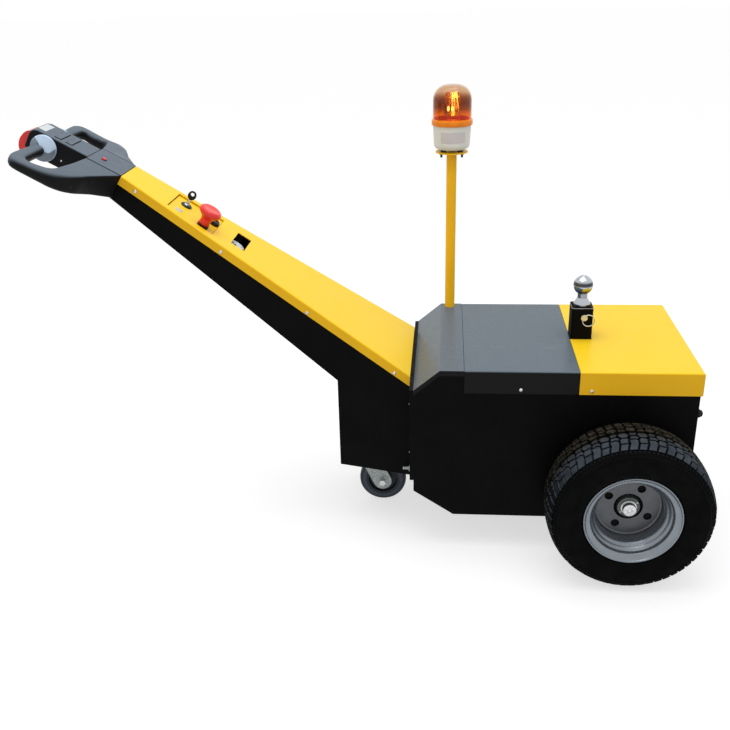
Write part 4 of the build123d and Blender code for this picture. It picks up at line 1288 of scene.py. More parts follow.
@dataclass
class DriveWheel:
    """One drive wheel: tyre with its tread, rim and hub."""

    side: Side
    radius: float = 0.203
    half_width: float = 0.0825
    bead: float = 0.102
    tread_depth: float = 0.0075
    tread_half: float = 0.066
    # The tread is drawn in millimetres, one repeat of it this long.
    drawn_pitch: float = 45.5
    half_pitch: float = 22.0
    rib_count: int = 4
    rib_pitch: float = 11.4
    rib_width: float = 4.2
    bolt_circle: float = 0.0565
    bolt_hole: float = 0.0105
    bolt_turn: float = math.radians(60.0)
    hub_screw_circle: float = 0.0235
    hub_face: float = 0.012
    pitch_count: int = 28
    steps: int = 168
    crown: list[Point] = field(
        default_factory=lambda: [
            (0.0, 0.0), (0.012, 0.0003), (0.036, 0.002), (0.052, 0.0045), (0.063, 0.0075), (0.07, 0.0135),
            (0.0745, 0.021),
        ]
    )

    @property
    def tag(self) -> str:
        """Returns the ending of this wheel's names."""
        return "near" if self.side is Side.NEAR else "far"

    @property
    def body(self) -> Body:
        """Returns the body that this wheel is."""
        return Body.NEAR_WHEEL if self.side is Side.NEAR else Body.FAR_WHEEL

    @property
    def centre(self) -> Vector:
        """Returns the wheel's middle."""
        return joint_place(self.tag + "_wheel_turn")

    @property
    def place(self) -> Matrix:
        """Returns the place whose Z is the axle, pointing outwards."""
        turn = Matrix.Rotation(-self.side.value * math.pi / 2, 4, "X")
        return Matrix.Translation(self.centre) @ turn

    def fall(self, across: float) -> float:
        """Returns how far the tread falls below the crown.

        Args:
            across: The distance from the tyre's middle.

        Returns:
            The drop from the largest radius.
        """
        away = abs(across)
        for (t0, f0), (t1, f1) in zip(self.crown, self.crown[1:]):
            if away <= t1:
                return f0 + (f1 - f0) * (away - t0) / (t1 - t0)
        return self.crown[-1][1]

    def carcass(self) -> None:
        """Builds the tyre under its tread blocks."""
        deep = self.tread_depth
        half = self.half_width
        outer = [
            (self.bead, 0.0645), (0.114, 0.066), (0.1192, 0.069), (0.1206, 0.0735), (0.1245, 0.078), (0.13, 0.0804),
            (0.136, half - 0.0012), (0.148, half), (0.16, half - 0.0006),
            (0.171, half - 0.0025), (0.1745, half - 0.0035), (0.176, half - 0.0026), (0.178, half - 0.0033),
            (0.1795, half - 0.0055), (0.183, 0.0735), (0.1875, 0.069),
        ]
        base = [(self.radius - deep - self.fall(t), t) for t in (0.0625, 0.052, 0.036, 0.012)]
        half_line = outer + base
        profile = half_line + [(r, -t) for r, t in reversed(half_line)]
        wall = 0.009
        inside = [(self.bead, 0.058), (self.bead + 0.014, 0.06), (0.148, half - wall), (0.178, 0.06), (0.187, 0.03)]
        profile += [(r, -t) for r, t in inside] + list(reversed(inside))
        form = Form()
        form.turned(profile, self.place, self.steps)
        form.piece("tyre_carcass_" + self.tag, Slot.TYRE, self.body, ("tyre_" + self.tag,), crease=30.0)

    def block(self, form: Form, outline: list[Point], phase: float, flip: float) -> None:
        """Adds one tread block that follows the crown.

        Args:
            form: The mesh of one repeat of the tread.
            outline: Corners as (along, across) in millimetres.
            phase: How far the block is moved along, in millimetres.
            flip: 1 on the outer half of the tread, -1 on the inner half.
        """
        scale = 2 * math.pi * self.radius / self.pitch_count * 1000 / self.drawn_pitch
        middle_s = sum(s for s, _ in outline) / len(outline)
        middle_t = sum(t for _, t in outline) / len(outline)
        rings = []
        for lift, inset in ((-self.tread_depth - 0.002, 0.5), (-0.0014, 1.0), (0.0, 2.0)):
            ring = []
            for s, t in outline:
                away = math.hypot(middle_s - s, middle_t - t)
                s += (middle_s - s) / away * inset
                if abs(t) < self.tread_half * 1000:
                    t += (middle_t - t) / away * inset
                across = t / 1000 * flip
                radius = self.radius - self.fall(across) + lift
                angle = (s * scale + phase) / 1000 / self.radius
                ring.append(Vector((radius * math.cos(angle), across, radius * math.sin(angle))))
            rings.append(ring)
        form.rings(rings, capped=True)

    def segment(self) -> bpy.types.Object:
        """Builds one repeat of the tread and its shoulder ribs.

        Returns:
            An object that only the tread's tree reads.
        """
        form = Form()
        short = [
            (1.2, 50.5), (11.0, 50.5), (20.8, 50.5), (23.5, 59.0), (26.2, 67.0), (16.5, 67.0), (6.8, 67.0),
            (4.0, 59.0),
        ]
        long = [
            (23.4, 37.0), (29.5, 33.0), (43.5, 35.0), (43.6, 50.0), (46.6, 59.0), (49.2, 67.0), (39.0, 67.0),
            (29.0, 67.0), (26.2, 59.0), (23.2, 50.0),
        ]
        diamond = [(1.0, 48.2), (20.6, 48.2), (21.2, 36.0), (16.8, 27.0), (2.5, 28.5), (-2.0, 33.5), (1.4, 38.0)]
        wedge = [(19.2, 26.5), (24.0, 33.0), (30.0, 30.5), (42.0, 32.0), (40.5, 21.0), (27.0, 19.0)]
        hook = [(-1.5, 9.0), (5.0, 3.5), (19.5, 4.5), (22.5, 12.0), (18.0, 23.8), (2.8, 25.0), (-3.6, 17.0)]
        bar = [(24.6, 12.0), (22.0, 3.8), (38.0, 2.2), (42.0, 9.0), (39.4, 17.6), (27.0, 16.0)]
        for flip, phase in ((1.0, 0.0), (-1.0, self.half_pitch)):
            for outline in (short, long, diamond, wedge, hook, bar):
                self.block(form, outline, phase, flip)
            for rib in range(self.rib_count):
                form.rings(self.rib(phase + rib * self.rib_pitch, flip), capped=True)
        return form.ended("tread_repeat")

    def rib(self, start: float, flip: float) -> list[list[Vector]]:
        """Makes the rings of one thin rib on the tyre's shoulder.

        Args:
            start: Where the rib starts along the tread, in millimetres.
            flip: The half of the tread.

        Returns:
            Two rings of four points.
        """
        rings = []
        for radius, across in ((0.1885, 0.0690), (0.1815, 0.0755)):
            ring = []
            for along, out in ((0.0, -0.003), (0.0, 0.0012), (self.rib_width, 0.0012), (self.rib_width, -0.003)):
                angle = (start + along) / 1000 / self.radius
                reach = radius + out * 0.5
                ring.append(Vector((reach * math.cos(angle), (across + out) * flip, reach * math.sin(angle))))
            rings.append(ring)
        return rings

    def tread(self) -> None:
        """Repeats the tread blocks round the tyre."""
        repeat = self.segment()
        empty = bpy.data.meshes.new("tread_start")
        made = round_repeater().grow(
            "tyre_tread_" + self.tag, empty, 30.0, Shape=repeat, Centre=self.centre,
            Count=self.pitch_count, Finish=Paints.of(Slot.TYRE),
        )
        bpy.data.objects.remove(repeat)
        handed(made, self.body)

    def rim(self) -> None:
        """Builds the pressed rim with its rolled flange, rounded steps and disc, the disc in a darker copy of the rim
        paint: painted shade.
        """
        seen = [
            (0.1182, 0.0705), (0.1184, 0.074), (0.117, 0.0762), (0.1148, 0.0758), (0.1128, 0.0728), (0.1085, 0.069),
            (0.103, 0.0672), (0.0992, 0.0645), (0.0982, 0.0555), (0.0938, 0.0512), (0.0912, 0.0475), (0.0902, 0.0455),
            (0.0852, 0.0405), (0.0826, 0.0362), (0.082, 0.03),
        ]
        hidden = [(0.0855, 0.03), (0.0862, 0.0375), (0.0945, 0.0485), (0.102, 0.0535), (0.1021, 0.066), (0.1065, 0.069)]
        front = rounded(seen, 0.0035, 4, closed=False)
        half_line = hidden + list(reversed(front))
        profile = [(r, -t) for r, t in reversed(half_line)]
        form = Form().paint(Slot.RIM)
        form.turned(hidden + [(0.1165, 0.0705)] + front, self.place, 128)
        form.turned(profile + [(0.1165, -0.0705)], self.place, 128)
        form.turned([(0.082, 0.031), (0.0855, 0.031), (0.0855, -0.031), (0.082, -0.031)], self.place, 128)
        holes = [circle(self.bolt_hole, 32, spot) for spot in circle(self.bolt_circle, 4, start=self.bolt_turn)]
        # The disc takes the darker copy of the rim paint: painted shade.
        form.paint(Slot.RIM_SHADE)
        form.plate(circle(0.0765, 96), [circle(0.0355, 64), *holes], 0.001, 0.006, self.place)
        form.turned(
            [(0.0762, 0.006), (0.0795, 0.0072), (0.0815, 0.0105), (0.0825, 0.015), (0.0835, 0.001), (0.0762, 0.001)],
            self.place, 96,
        )
        form.piece("rim_pressed_" + self.tag, Slot.RIM, self.body, ("rim_" + self.tag,), crease=32.0)

    def hub(self) -> None:
        """Builds the hub with its flange, nose, washer and axle nut; the flange behind the disc and the axle are
        near-black painted shade.
        """
        # The flange behind the disc and the axle are near-black: painted shade in the holes and in the gap round the
        # nose.
        form = Form().paint(Slot.HUB_SHADE)
        form.turned(
            [(0.027, -0.009), (0.071, -0.009), (0.071, -0.0002), (0.0355, -0.0002), (0.0345, -0.004), (0.027, -0.004)],
            self.place, 72,
        )
        form.turned([(0.0, -0.1281), (0.015, -0.1281), (0.015, -0.033), (0.0, -0.033)], self.place, 48)
        form.paint(Slot.HUB)
        nose = [(0.0, -0.033), (0.0275, -0.033), (0.028, 0.009), (0.0272, 0.0112), (0.0255, 0.012), (0.0, 0.012)]
        form.turned(nose, self.place, 72)
        form.turned(
            [(0.0175, 0.0118), (0.0225, 0.0118), (0.0222, 0.0135), (0.021, 0.0142), (0.0175, 0.0142)], self.place,
            64,
        )
        form.paint(Slot.SCREW)
        nut = [
            (0.0, 0.012), (0.0192, 0.012), (0.0192, 0.0143), (0.0168, 0.0147), (0.017, 0.0245), (0.0158, 0.0265),
            (0.0135, 0.0272),
        ]
        form.turned([*nut, (0.0062, 0.0272), (0.005, 0.0258), (0.0, 0.0255)], self.place, 64)
        form.piece("hub_" + self.tag, Slot.STEEL, self.body, ("wheel_hub_" + self.tag,), crease=35.0)
        spots = circle(self.hub_screw_circle, 2, start=0.6)
        places = [self.place @ Matrix.Translation((x, y, self.hub_face)) for x, y in spots]
        Screws("hub_screws_" + self.tag, 0.0026, 0.0016, self.body).build(places)

    def build(self) -> None:
        """Builds the wheel."""
        self.carcass()
        self.tread()
        self.rim()
        self.hub()


@dataclass
class BodyShell:
    """The body's covers and panels, with their screws."""

    half_width: float = 0.246
    side_screws: tuple[Point, ...] = ((-0.2645, 0.465), (-0.092, 0.4635))
    rear_face: float = 0.17
    rear_screw_side: float = 0.2315
    rear_screw_heights: tuple[float, ...] = (0.14, 0.3, 0.445)
    front_screws: tuple[Point, ...] = ((0.2, 0.4), (0.2, 0.26))
    front_face: float = -0.541

    def build(self) -> None:
        """Paints the covers and sets their screws."""
        repaint(Slot.YELLOW, "rear_cover")
        repaint(Slot.COVER, "front_cowl", "middle_cover")
        repaint(Slot.BLACK, "body_tub", "rear_panel", "front_plate")
        repaint(Slot.BUFFER, "rear_buffers")
        places = []
        for side in Side:
            for x, z in self.side_screws:
                places.append(facing((x, side.value * self.half_width, z), (0.0, side.value, 0.0)))
            for z in self.rear_screw_heights:
                places.append(facing((self.rear_face, side.value * self.rear_screw_side, z), (1.0, 0.0, 0.0)))
            for y, z in self.front_screws:
                places.append(facing((self.front_face, side.value * y, z), (-1.0, 0.0, 0.0)))
        Screws("body_screws").build(places)


@dataclass
class SteeringArm:
    """The sloping arm with its cover, panel, switches and gauge."""

    screws: tuple[Point, ...] = ((-1.241, 0.924), (-1.025, 0.775), (-0.806, 0.623), (-0.582, 0.472))
    head_half: float = 0.0635
    base_half: float = 0.1755
    recess: tuple[float, float] = (0.132, 0.268)
    recess_half: tuple[float, float] = (0.06, 0.07)
    recess_depth: float = 0.005
    dot_spot: Point = (0.1617, -0.0352)
    dot_radius: float = 0.0115
    key_spot: Point = (0.167, 0.02)
    key_height: float = 0.033
    key_bow: Point = (0.011, 0.0125)
    key_eye: float = 0.0052
    key_eye_spot: Point = (0.0, 0.0035)
    needle_turn: float = 2.3
    seam_width: float = 0.0016

    def cover_side(self, x: float) -> float:
        """Returns the cover's half width at a distance from the drive axle."""
        share = (x + AXLE.x - HEAD.x) / (AXLE.x + ARM_BASE[0] - HEAD.x)
        return self.head_half + (self.base_half - self.head_half) * share

    def flange_screws(self) -> None:
        """Sets the screws along the cover's two folded sides."""
        places = []
        lean = (self.base_half - self.head_half) / (AXLE.x + ARM_BASE[0] - HEAD.x)
        for side in Side:
            for x, z in self.screws:
                spot = (x, side.value * self.cover_side(x), z)
                places.append(facing(spot, (-lean, side.value, 0.0)))
        Screws("arm_screws").build(places)

    def panel_seam(self) -> None:
        """Lays a line of painted shade round the floor of the sunk panel."""
        start, end = self.recess
        near, far = self.recess_half
        place = arm_place(0.0, 0.0, -self.recess_depth)
        corners = [(start, -near), (end, -far), (end, far), (start, near)]
        inside = [(start + self.seam_width, -near + self.seam_width), (end - self.seam_width, -far + self.seam_width)]
        inside += [(end - self.seam_width, far - self.seam_width), (start + self.seam_width, near - self.seam_width)]
        form = Form()
        loops = [
            [place @ Vector((x, y, z)) for x, y in outline]
            for z in (-0.0002, 0.0003) for outline in (corners, inside)
        ]
        form.rings([loops[0], loops[1], loops[3], loops[2]], closed=True)
        form.piece("panel_seam", Slot.GAP_SHADE, Body.CHASSIS)

    def blank_dot(self) -> None:
        """Lays the round blank plate beside the key."""
        form = Form()
        radius = self.dot_radius
        profile = [(radius, 0.0), (radius, 0.0005), (radius - 0.0004, 0.0008), (0.0, 0.0009)]
        form.turned(profile, arm_place(*self.dot_spot, -self.recess_depth), 48, closed=False)
        form.piece("panel_dot", Slot.DOT, Body.CHASSIS)

    def key(self) -> None:
        """Builds the key: its blade, and its oval bow with a hole and a bright edge."""
        place = arm_place(*self.key_spot, -self.recess_depth)
        upright = place @ Matrix.Translation((0.0, 0.0, self.key_height)) @ Matrix.Rotation(math.pi / 2, 4, "X")
        eye = circle(self.key_eye, 24, self.key_eye_spot)
        oval = [(self.key_bow[0] * x, self.key_bow[1] * y) for x, y in circle(1.0, 40)]
        form = Form().paint(Slot.KEY)
        form.plate(oval, [eye], -0.0024, 0.0024, upright)
        form.paint(Slot.SCREW)
        form.box((-0.004, -0.001, 0.0025), (0.004, 0.001, 0.0215), place, 0.0004)
        form.swept([upright @ Vector((x, y, 0.0)) for x, y in eye], 0.0009, 8, closed=True)
        form.piece("key_with_bow", Slot.KEY, Body.CHASSIS, ("key",))

    def dial(self) -> None:
        """Puts a bright bezel and a dark needle on the gauge's blank dial."""
        low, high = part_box("gauge_dial")
        middle = (Vector(low) + Vector(high)) / 2
        turn = arm_place(0.0, 0.0).to_3x3().to_4x4()
        place = Matrix.Translation(middle) @ turn
        form = Form().paint(Slot.SCREW)
        form.turned(
            [(0.0222, 0.0), (0.0272, 0.0), (0.0272, 0.0022), (0.0255, 0.0034), (0.0235, 0.0034), (0.0222, 0.0026)],
            place, 72,
        )
        form.paint(Slot.DARK)
        form.box((-0.001, -0.0006, 0.0016), (0.0165, 0.0006, 0.0022), place @ Matrix.Rotation(self.needle_turn, 4, "Z"))
        form.turned([(0.0034, 0.0014), (0.0034, 0.0026), (0.0026, 0.0032), (0.0, 0.0033)], place, 24, closed=False)
        form.piece("gauge_bezel", Slot.GAUGE, Body.CHASSIS)

    def build(self) -> None:
        """Paints the arm and builds its small parts."""
        repaint(Slot.YELLOW, "arm_cover")
        repaint(Slot.BLACK, "arm_frame")
        repaint(Slot.DARK, "key_switch", "push_button", "stop_base", "charge_gauge")
        repaint(Slot.CHROME, "key_barrel")
        repaint(Slot.RED, "emergency_stop")
        repaint(Slot.GAUGE, "gauge_dial")
        repaint(Slot.ZINC, "arm_fixing_bolts")
        self.flange_screws()
        self.panel_seam()
        self.blank_dot()
        self.key()
        self.dial()


@dataclass
class TillerHead:
    """The moulded head: hand loops, neck, lid, console, thumb paddles and button."""

    console_half: float = 0.048
    neck_low: Spot = (0.0275, -0.0613, -0.066)
    neck_high: Spot = (0.0972, 0.0613, -0.0042)
    lid_half: float = 0.0607
    lid_reach: tuple[float, float] = (0.002, 0.0975)
    rocker_half: float = 0.033
    rockers: tuple[Point, ...] = ((0.148, 0.166), (0.178, 0.196))
    seam_width: float = 0.0013
    paddle_middle: Point = (0.206, -0.035)
    paddle_radius: float = 0.034
    paddle_gap: float = 0.001
    # Where the paddle's crease meets its rim, and the crease's points in millimetres.
    crease_turns: tuple[float, float] = (math.radians(31.0), math.radians(153.0))
    crease_rows: tuple[Spot, ...] = ((31, 18.6, 6.5), (14, 12, 14), (-1.6, 1.5, 18.5), (-20, 0, 17), (-30.3, 15.4, 6.5))
    nose: float = 0.254
    nose_half: float = 0.0285
    lens_spot: Point = (0.066, -0.014)
    console_screw: Point = (0.1554, -0.0446)
    # Each row, in millimetres: the section's inner corner and outer corner (up, side), the tops and
    # the undersides at both, and how far from its corners the section starts to bend.
    loop_rows: tuple[tuple[float, ...], ...] = (
        (2, 61.5, 98, 61.5, -1, -1, -66, -66, 4),
        (20, 91, 103, 90, -4, -4, -64, -63, 5),
        (38, 121, 108, 121, -7.5, -6.5, -62, -60, 6),
        (52, 151, 114, 150, -8.5, -8, -61, -59, 8),
        (64, 178, 121, 174, -10.5, -10.5, -60, -58.5, 11),
        (84, 203, 129, 183.5, -14.5, -14, -60, -58.5, 15),
        (110, 216, 143, 188, -19.5, -19, -60, -59, 18),
        (140, 224, 160, 190, -23, -22.5, -57, -57, 19),
        (170, 229.5, 173, 192.5, -24.5, -24.5, -54.5, -54.5, 17),
        (196, 231, 184, 193.5, -25, -25, -53, -53, 16),
        (213, 227, 190.5, 188, -25, -25, -53, -53, 16),
        (223.5, 215, 193.5, 182, -25, -25, -53, -53, 16),
        (229, 199, 194.5, 172, -25, -25, -53, -53, 16),
        (230, 175, 195, 160, -25, -25, -53, -53, 16),
        (229, 140, 195.5, 135, -25.5, -25.5, -53, -53, 16),
        (228, 100, 196, 100, -26, -26, -53, -53, 16),
        (228, 71, 196, 71, -26, -26, -53, -53, 16),
    )

    def loop(self, form: Form, side: Side) -> None:
        """Adds one web and hand loop as one flowing form.

        Args:
            form: The mesh.
            side: The side of the head.
        """
        rings = []
        for row in flowing(self.loop_rows, 5):
            u0, v0, u1, v1, top0, top1, low0, low1, bend = (number / 1000 for number in row)
            wide = math.hypot(u1 - u0, v1 - v0)
            section = rounded([(0.0, low0), (0.0, top0), (wide, top1), (wide, low1)], bend, 6)
            ring = []
            for x, out in section:
                share = x / wide
                ring.append(head_spot(u0 + (u1 - u0) * share, side.value * (v0 + (v1 - v0) * share), out))
            rings.append(ring)
        form.rings(rings, capped=True)

    def frame(self) -> None:
        """Builds both loops and the neck between them."""
        form = Form()
        for side in Side:
            self.loop(form, side)
        form.box(self.neck_low, self.neck_high, HEAD_FRAME, 0.0015)
        form.piece("tiller_loops", Slot.TILLER, Body.CHASSIS, ("handle_frame",), crease=50.0)

    def gap_shade_lines(self) -> None:
        """Lays lines of painted shade round the lid and round the two rockers."""
        form = Form()
        width = self.seam_width
        edge = self.lid_half
        start, end = self.lid_reach
        for side in (-edge - width, edge):
            form.box((start, side, -0.003), (end, side + width, 0.0001), HEAD_FRAME)
        form.box((end - 0.0007, -edge, -0.003), (end + 0.0009, edge, 0.0003), HEAD_FRAME)
        half = self.rocker_half
        for start, end in self.rockers:
            form.box((start - 0.0007, -half, -0.002), (start + width, half, 0.0004), HEAD_FRAME)
            form.box((start, half - width, -0.002), (end, half + 0.0007, 0.0004), HEAD_FRAME)
        form.piece("tiller_seams", Slot.GAP_SHADE, Body.CHASSIS)

    def paddle_face(self, form: Form, side: Side) -> None:
        """Adds one thumb paddle: a disc whose face folds along a bent crease, its lower facet darkened by painted
        shade.

        Args:
            form: The mesh.
            side: The side of the head.
        """
        def at(a: float, b: float, height: float) -> Vector:
            """Returns a point of the paddle, up the head, out of its top and off the console."""
            away = self.console_half + self.paddle_gap + height
            return head_spot(self.paddle_middle[0] + a, side.value * away, self.paddle_middle[1] + b)

        radius = self.paddle_radius
        inner = radius * 0.97
        start, end = self.crease_turns
        crease = flowing(list(self.crease_rows), 8)
        count = len(crease) - 1
        # The lower facet takes the darker copy of the paddle plastic: painted shade.
        for sweep, face in ((end - start, Slot.PADDLE), (end - start - 2 * math.pi, Slot.SHADE)):
            edges = []
            faces = []
            for step, (a, b, height) in enumerate(crease):
                x, y = circle(1.0, 1, start=start + sweep * step / count)[0]
                lip = at(inner * x, inner * y, 0.0065)
                edges.append(
                    [
                        at(inner * x, inner * y, 0.0), at(radius * x, radius * y, 0.0015),
                        at(radius * x, radius * y, 0.005), lip,
                    ]
                )
                faces.append([lip, at(a * 0.97 / 1000, b * 0.97 / 1000, height / 1000)])
            form.paint(Slot.PADDLE).strip(edges)
            form.paint(face).strip(faces)
        form.paint(Slot.PADDLE).face([form.mesh.verts.new(at(x, y, 0.0)) for x, y in circle(inner, 64)])

    def paddles(self) -> None:
        """Builds the two thumb paddles."""
        form = Form()
        for side in Side:
            self.paddle_face(form, side)
        form.piece("thumb_paddles", Slot.PADDLE, Body.CHASSIS, ("throttle_paddles",), crease=26.0)

    def button(self) -> None:
        """Builds the tall rounded button on the console's nose."""
        n = self.nose
        outline = [
            (n - 0.0115, -0.0145), (n + 0.004, -0.0165), (n + 0.0165, -0.026), (n + 0.024, -0.05), (n + 0.0195, -0.07),
            (n + 0.009, -0.082), (n - 0.0115, -0.0865),
        ]
        half = self.nose_half
        turn = Matrix.Rotation(math.pi / 2, 4, "X")
        form = Form()
        form.prism(rounded(outline, 0.012, 5), -half, half, HEAD_FRAME @ turn, 0.0075, 4)
        form.piece("nose_button", Slot.RED, Body.CHASSIS, ("belly_button",), crease=30.0)

    def signals(self) -> None:
        """Builds the red signal lens with its dark socket, in the near-black of the painted gap shade."""
        place = head_place(*self.lens_spot, 0.0)
        form = Form().paint(Slot.GAP_SHADE)
        form.turned([(0.0068, 0.0), (0.0068, 0.0007), (0.006, 0.0012), (0.0, 0.0012)], place, 32, closed=False)
        form.paint(Slot.RED)
        form.turned(
            [(0.0055, 0.0008), (0.0055, 0.0024), (0.0048, 0.0038), (0.003, 0.0048), (0.0, 0.0052)], place, 32,
            closed=False,
        )
        form.piece("signal_cap", Slot.RED, Body.CHASSIS, ("signal_lens",))

    def build(self) -> None:
        """Builds the head and paints the nodes that stay."""
        repaint(Slot.TILLER, "handle_top_plate", "control_console", "rocker_buttons")
        repaint(Slot.GAUGE, "display_plate")
        self.frame()
        self.gap_shade_lines()
        self.paddles()
        self.button()
        self.signals()
        places = []
        for side in Side:
            turn = Vector((0.0, side.value, 0.0)).to_track_quat("Z", "Y").to_matrix().to_4x4()
            up, out = self.console_screw
            places.append(Matrix.Translation(head_spot(up, side.value * self.console_half, out)) @ turn)
        Screws("console_screws", 0.0026, 0.0014).build(places)


@dataclass
class Beacon:
    """The beacon: pole, base with its blank plate, amber dome, mirror and lamps."""

    pole: Point = (-0.44, 0.226)
    seat: float = 1.0355
    wall: float = 0.002
    rim: float = 0.0555
    side: float = 0.052
    rim_height: float = 0.015
    dome_height: float = 0.0905
    shoulder: float = 0.046
    shoulder_power: float = 0.8
    shoulder_steps: int = 24
    plate_top: float = 0.964
    label_middle: float = -86.0
    label_sweep: float = 78.0
    bolt_spread: float = 0.028
    mirror_radius: float = 0.026
    mirror_heights: tuple[float, ...] = (0.02, 0.034, 0.05, 0.068, 0.084)
    mirror_middle: float = 0.052
    mirror_half: float = 0.032
    low_posts: tuple[Point, ...] = ((-0.012, -0.008), (-0.004, -0.013))
    tall_posts: tuple[Point, ...] = ((0.012, -0.004), (0.02, -0.002))
    bulbs: tuple[Point, ...] = ((-0.0105, -0.009), (0.0005, -0.013))

    def place(self, height: float = 0.0) -> Matrix:
        """Returns the place on the beacon's axis, above the seat of its dome."""
        return Matrix.Translation((AXLE.x + self.pole[0], self.pole[1], self.seat + height))

    def dome(self) -> None:
        """Builds the clear dome as a thin shell."""
        tall = self.rim_height + self.dome_height
        bend = self.shoulder
        outer = [(self.side, 0.001), (self.side, 0.02)]
        for step in range(self.shoulder_steps + 1):
            angle = 0.5 * math.pi * step / self.shoulder_steps
            reach = abs(math.cos(angle)) ** self.shoulder_power
            rise = math.sin(angle) ** self.shoulder_power
            outer.append((self.side * reach, tall - bend + bend * rise))
        share = 1.0 - self.wall / self.side
        inner = [(r * share, z - self.wall * max(0.0, z - tall + bend) / bend) for r, z in outer]
        form = Form()
        form.turned(outer + list(reversed(inner)), self.place(), 96)
        form.piece("dome_clear", Slot.AMBER, Body.CHASSIS, ("beacon_dome",), crease=35.0)

    def band(self) -> None:
        """Builds the solid amber band at the dome's foot."""
        high = self.rim_height
        inside = self.side - self.wall - 0.0006
        profile = [
            (inside, 0.0), (self.rim - 0.0008, 0.0), (self.rim, 0.0012), (self.rim, high - 0.003),
            (self.rim - 0.0008, high - 0.001), (self.side + 0.0004, high), (
                self.side + 0.0002, high + 0.002
            ), (inside, high + 0.0015),
        ]
        form = Form()
        form.turned(profile, self.place(), 96)
        form.piece("dome_band", Slot.BAND, Body.CHASSIS)

    def mirror(self) -> None:
        """Builds the lamp floor, posts, lit lamps and the curved mirror."""
        form = Form().paint(Slot.BAND)
        form.turned(
            [(0.0, 0.0), (0.049, 0.0), (0.049, 0.006), (0.03, 0.0085), (0.018, 0.012), (0.0, 0.012)], self.place(),
            64,
        )
        form.paint(Slot.LAMP)
        arc = []
        for step in range(17):
            angle = math.radians(28.0 + 11.0 * step)
            arc.append((self.mirror_radius * math.cos(angle), self.mirror_radius * math.sin(angle)))
        rings = []
        for height in self.mirror_heights:
            pull = 1.0 - 0.3 * ((height - self.mirror_middle) / self.mirror_half) ** 2
            edge = [self.place(height) @ Vector((x * pull, y * pull, 0.0)) for x, y in arc]
            back = [self.place(height) @ Vector((x * (pull + 0.05), y * (pull + 0.05), 0.0)) for x, y in reversed(arc)]
            rings.append(edge + back)
        form.rings(rings, capped=True)
        for posts, height in ((self.low_posts, 0.036), (self.tall_posts, 0.07)):
            for x, y in posts:
                foot = self.place(0.01) @ Vector((x, y, 0.0))
                top = self.place(height) @ Vector((x * 0.8, y, 0.0))
                form.swept([foot, foot.lerp(top, 0.5), top], 0.0017, 10)
        form.paint(Slot.FILAMENT)
        bulb = [(0.0, 0.036), (0.0026, 0.037), (0.0034, 0.042), (0.0026, 0.048), (0.0, 0.05)]
        for x, y in self.bulbs:
            form.turned(bulb, self.place() @ Matrix.Translation((x, y, 0.0)), 16)
        form.piece("lamp_works", Slot.LAMP, Body.CHASSIS, ("beacon_lamp",), crease=35.0)

    def label(self) -> None:
        """Lays the blank plate on the base, towards the near side."""
        rows = []
        for lift, z in ((0.0, 0.0295), (0.0007, 0.0298), (0.0007, 0.0567), (0.0, 0.057)):
            reach = 0.0492 + 0.0025 * (z - 0.019) / 0.0525 + lift
            place = self.place(self.plate_top - self.seat + z)
            row = []
            for step in range(25):
                angle = math.radians(self.label_middle + self.label_sweep * (step / 24 - 0.5))
                row.append(place @ Vector((reach * math.cos(angle), reach * math.sin(angle), 0.0)))
            rows.append(row)
        form = Form()
        form.strip(rows)
        form.piece("base_plate_blank", Slot.LABEL, Body.CHASSIS)

    def bolts(self) -> None:
        """Builds the two dark bolts that hang under the pole's plate."""
        form = Form()
        under = self.place(self.plate_top - self.seat - 0.003)
        for ahead in (-self.bolt_spread, self.bolt_spread):
            down = under @ Matrix.Translation((ahead, -0.012, 0.0)) @ Matrix.Rotation(math.pi, 4, "X")
            form.prism(circle(0.0056, 6), 0.0, 0.0045, down, 0.0005, 1)
            form.turned([(0.0032, 0.004), (0.0032, 0.011), (0.0024, 0.012), (0.0, 0.012)], down, 16, closed=False)
        form.piece("plate_bolts", Slot.DARK, Body.CHASSIS)

    def build(self) -> None:
        """Builds the beacon and paints its pole and base."""
        repaint(Slot.YELLOW, "beacon_pole")
        repaint(Slot.CREAM, "beacon_base")
        repaint(Slot.DARK, "beacon_feet")
        self.dome()
        self.band()
        self.mirror()
        self.label()
        self.bolts()


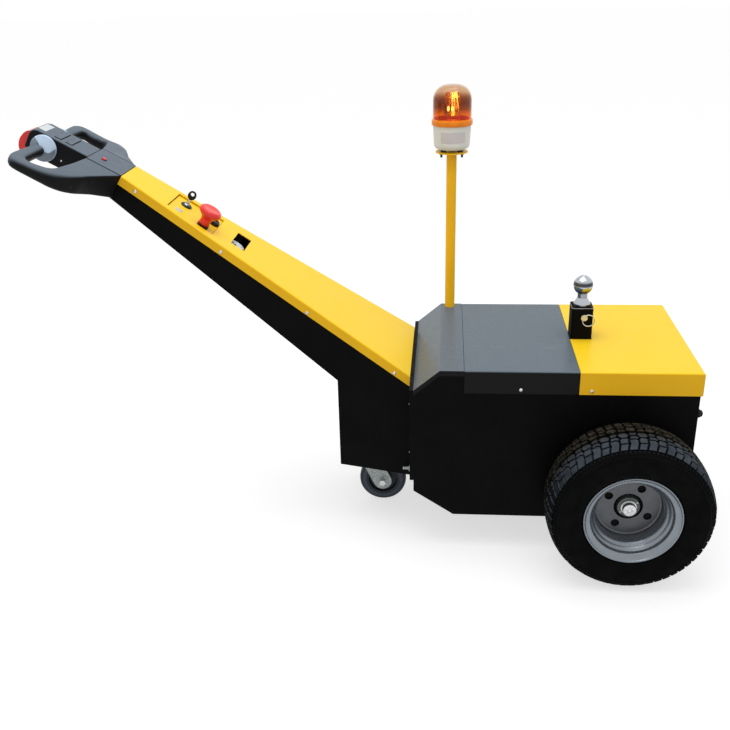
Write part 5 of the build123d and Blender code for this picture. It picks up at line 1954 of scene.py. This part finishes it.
@dataclass
class Hitch:
    """The tow post with its insert, ball and pin."""

    middle: float = -0.094
    half: float = 0.028
    top: float = 0.6
    ball_radius: float = 0.0255
    ball_height: float = 0.656

    def painted_edge_highlight(self) -> None:
        """Lays a bright line along the post's top edge: a painted highlight."""
        corners = rounded(
            [(-self.half, -self.half), (self.half, -self.half), (self.half, self.half), (-self.half, self.half)],
            0.007, 4,
        )
        path = [Vector((AXLE.x + self.middle + x * 0.985, y * 0.985, self.top - 0.0003)) for x, y in corners]
        form = Form()
        form.swept(path, 0.0009, 8, closed=True)
        form.piece("post_worn_edge", Slot.EDGE_HIGHLIGHT, Body.CHASSIS)

    def nub(self) -> None:
        """Builds the small flat with its dimple on top of the ball."""
        place = Matrix.Translation((AXLE.x + self.middle, 0.0, self.ball_height + self.ball_radius - 0.0016))
        form = Form()
        form.turned(
            [(0.0085, 0.0), (0.0085, 0.0006), (0.0078, 0.0012), (0.0036, 0.0012), (0.0028, 0.0002), (0.0, 0.0)],
            place, 40, closed=False,
        )
        form.piece("ball_flat", Slot.CHROME, Body.CHASSIS)

    def build(self) -> None:
        """Paints the hitch and adds its small parts."""
        repaint(Slot.BLACK, "hitch_post", "ball_insert")
        repaint(Slot.CHROME, "tow_ball")
        repaint(Slot.SCREW, "hitch_pin")
        self.painted_edge_highlight()
        self.nub()


@dataclass
class Caster:
    """The swivel caster with its bolts."""

    plate_bolts: tuple[float, float] = (0.038, 0.028)
    plate_low: float = 0.181
    swivel: float = -0.672

    def build(self) -> None:
        """Paints the caster and sets the bolts of its plate."""
        repaint(Slot.ZINC, "caster_plate", "caster_fork")
        repaint(Slot.SCREW, "caster_axle")
        repaint(Slot.CASTER, "caster_tyre", "caster_core")
        along, across = self.plate_bolts
        places = []
        for x in (-along, along):
            for y in (-across, across):
                places.append(facing((self.swivel + x, y, self.plate_low), (0.0, 0.0, -1.0)))
        Screws("caster_bolts", 0.0078, 0.0055).build(places)


@dataclass
class DriveUnit:
    """What shows of the drive under the body."""

    def build(self) -> None:
        """Paints the drive unit and the batteries."""
        repaint(Slot.IRON, "drive_axle", "drive_motor")
        repaint(Slot.BATTERY, "battery_pack")


def main() -> None:
    """Builds the studio and every sub-assembly."""
    logging.basicConfig(level=logging.INFO, format="%(message)s")
    Studio().build()
    for part in (BodyShell(), SteeringArm(), TillerHead(), Beacon(), Hitch(), Caster(), DriveUnit()):
        part.build()
    for side in Side:
        DriveWheel(side).build()


if __name__ == "__main__":
    main()
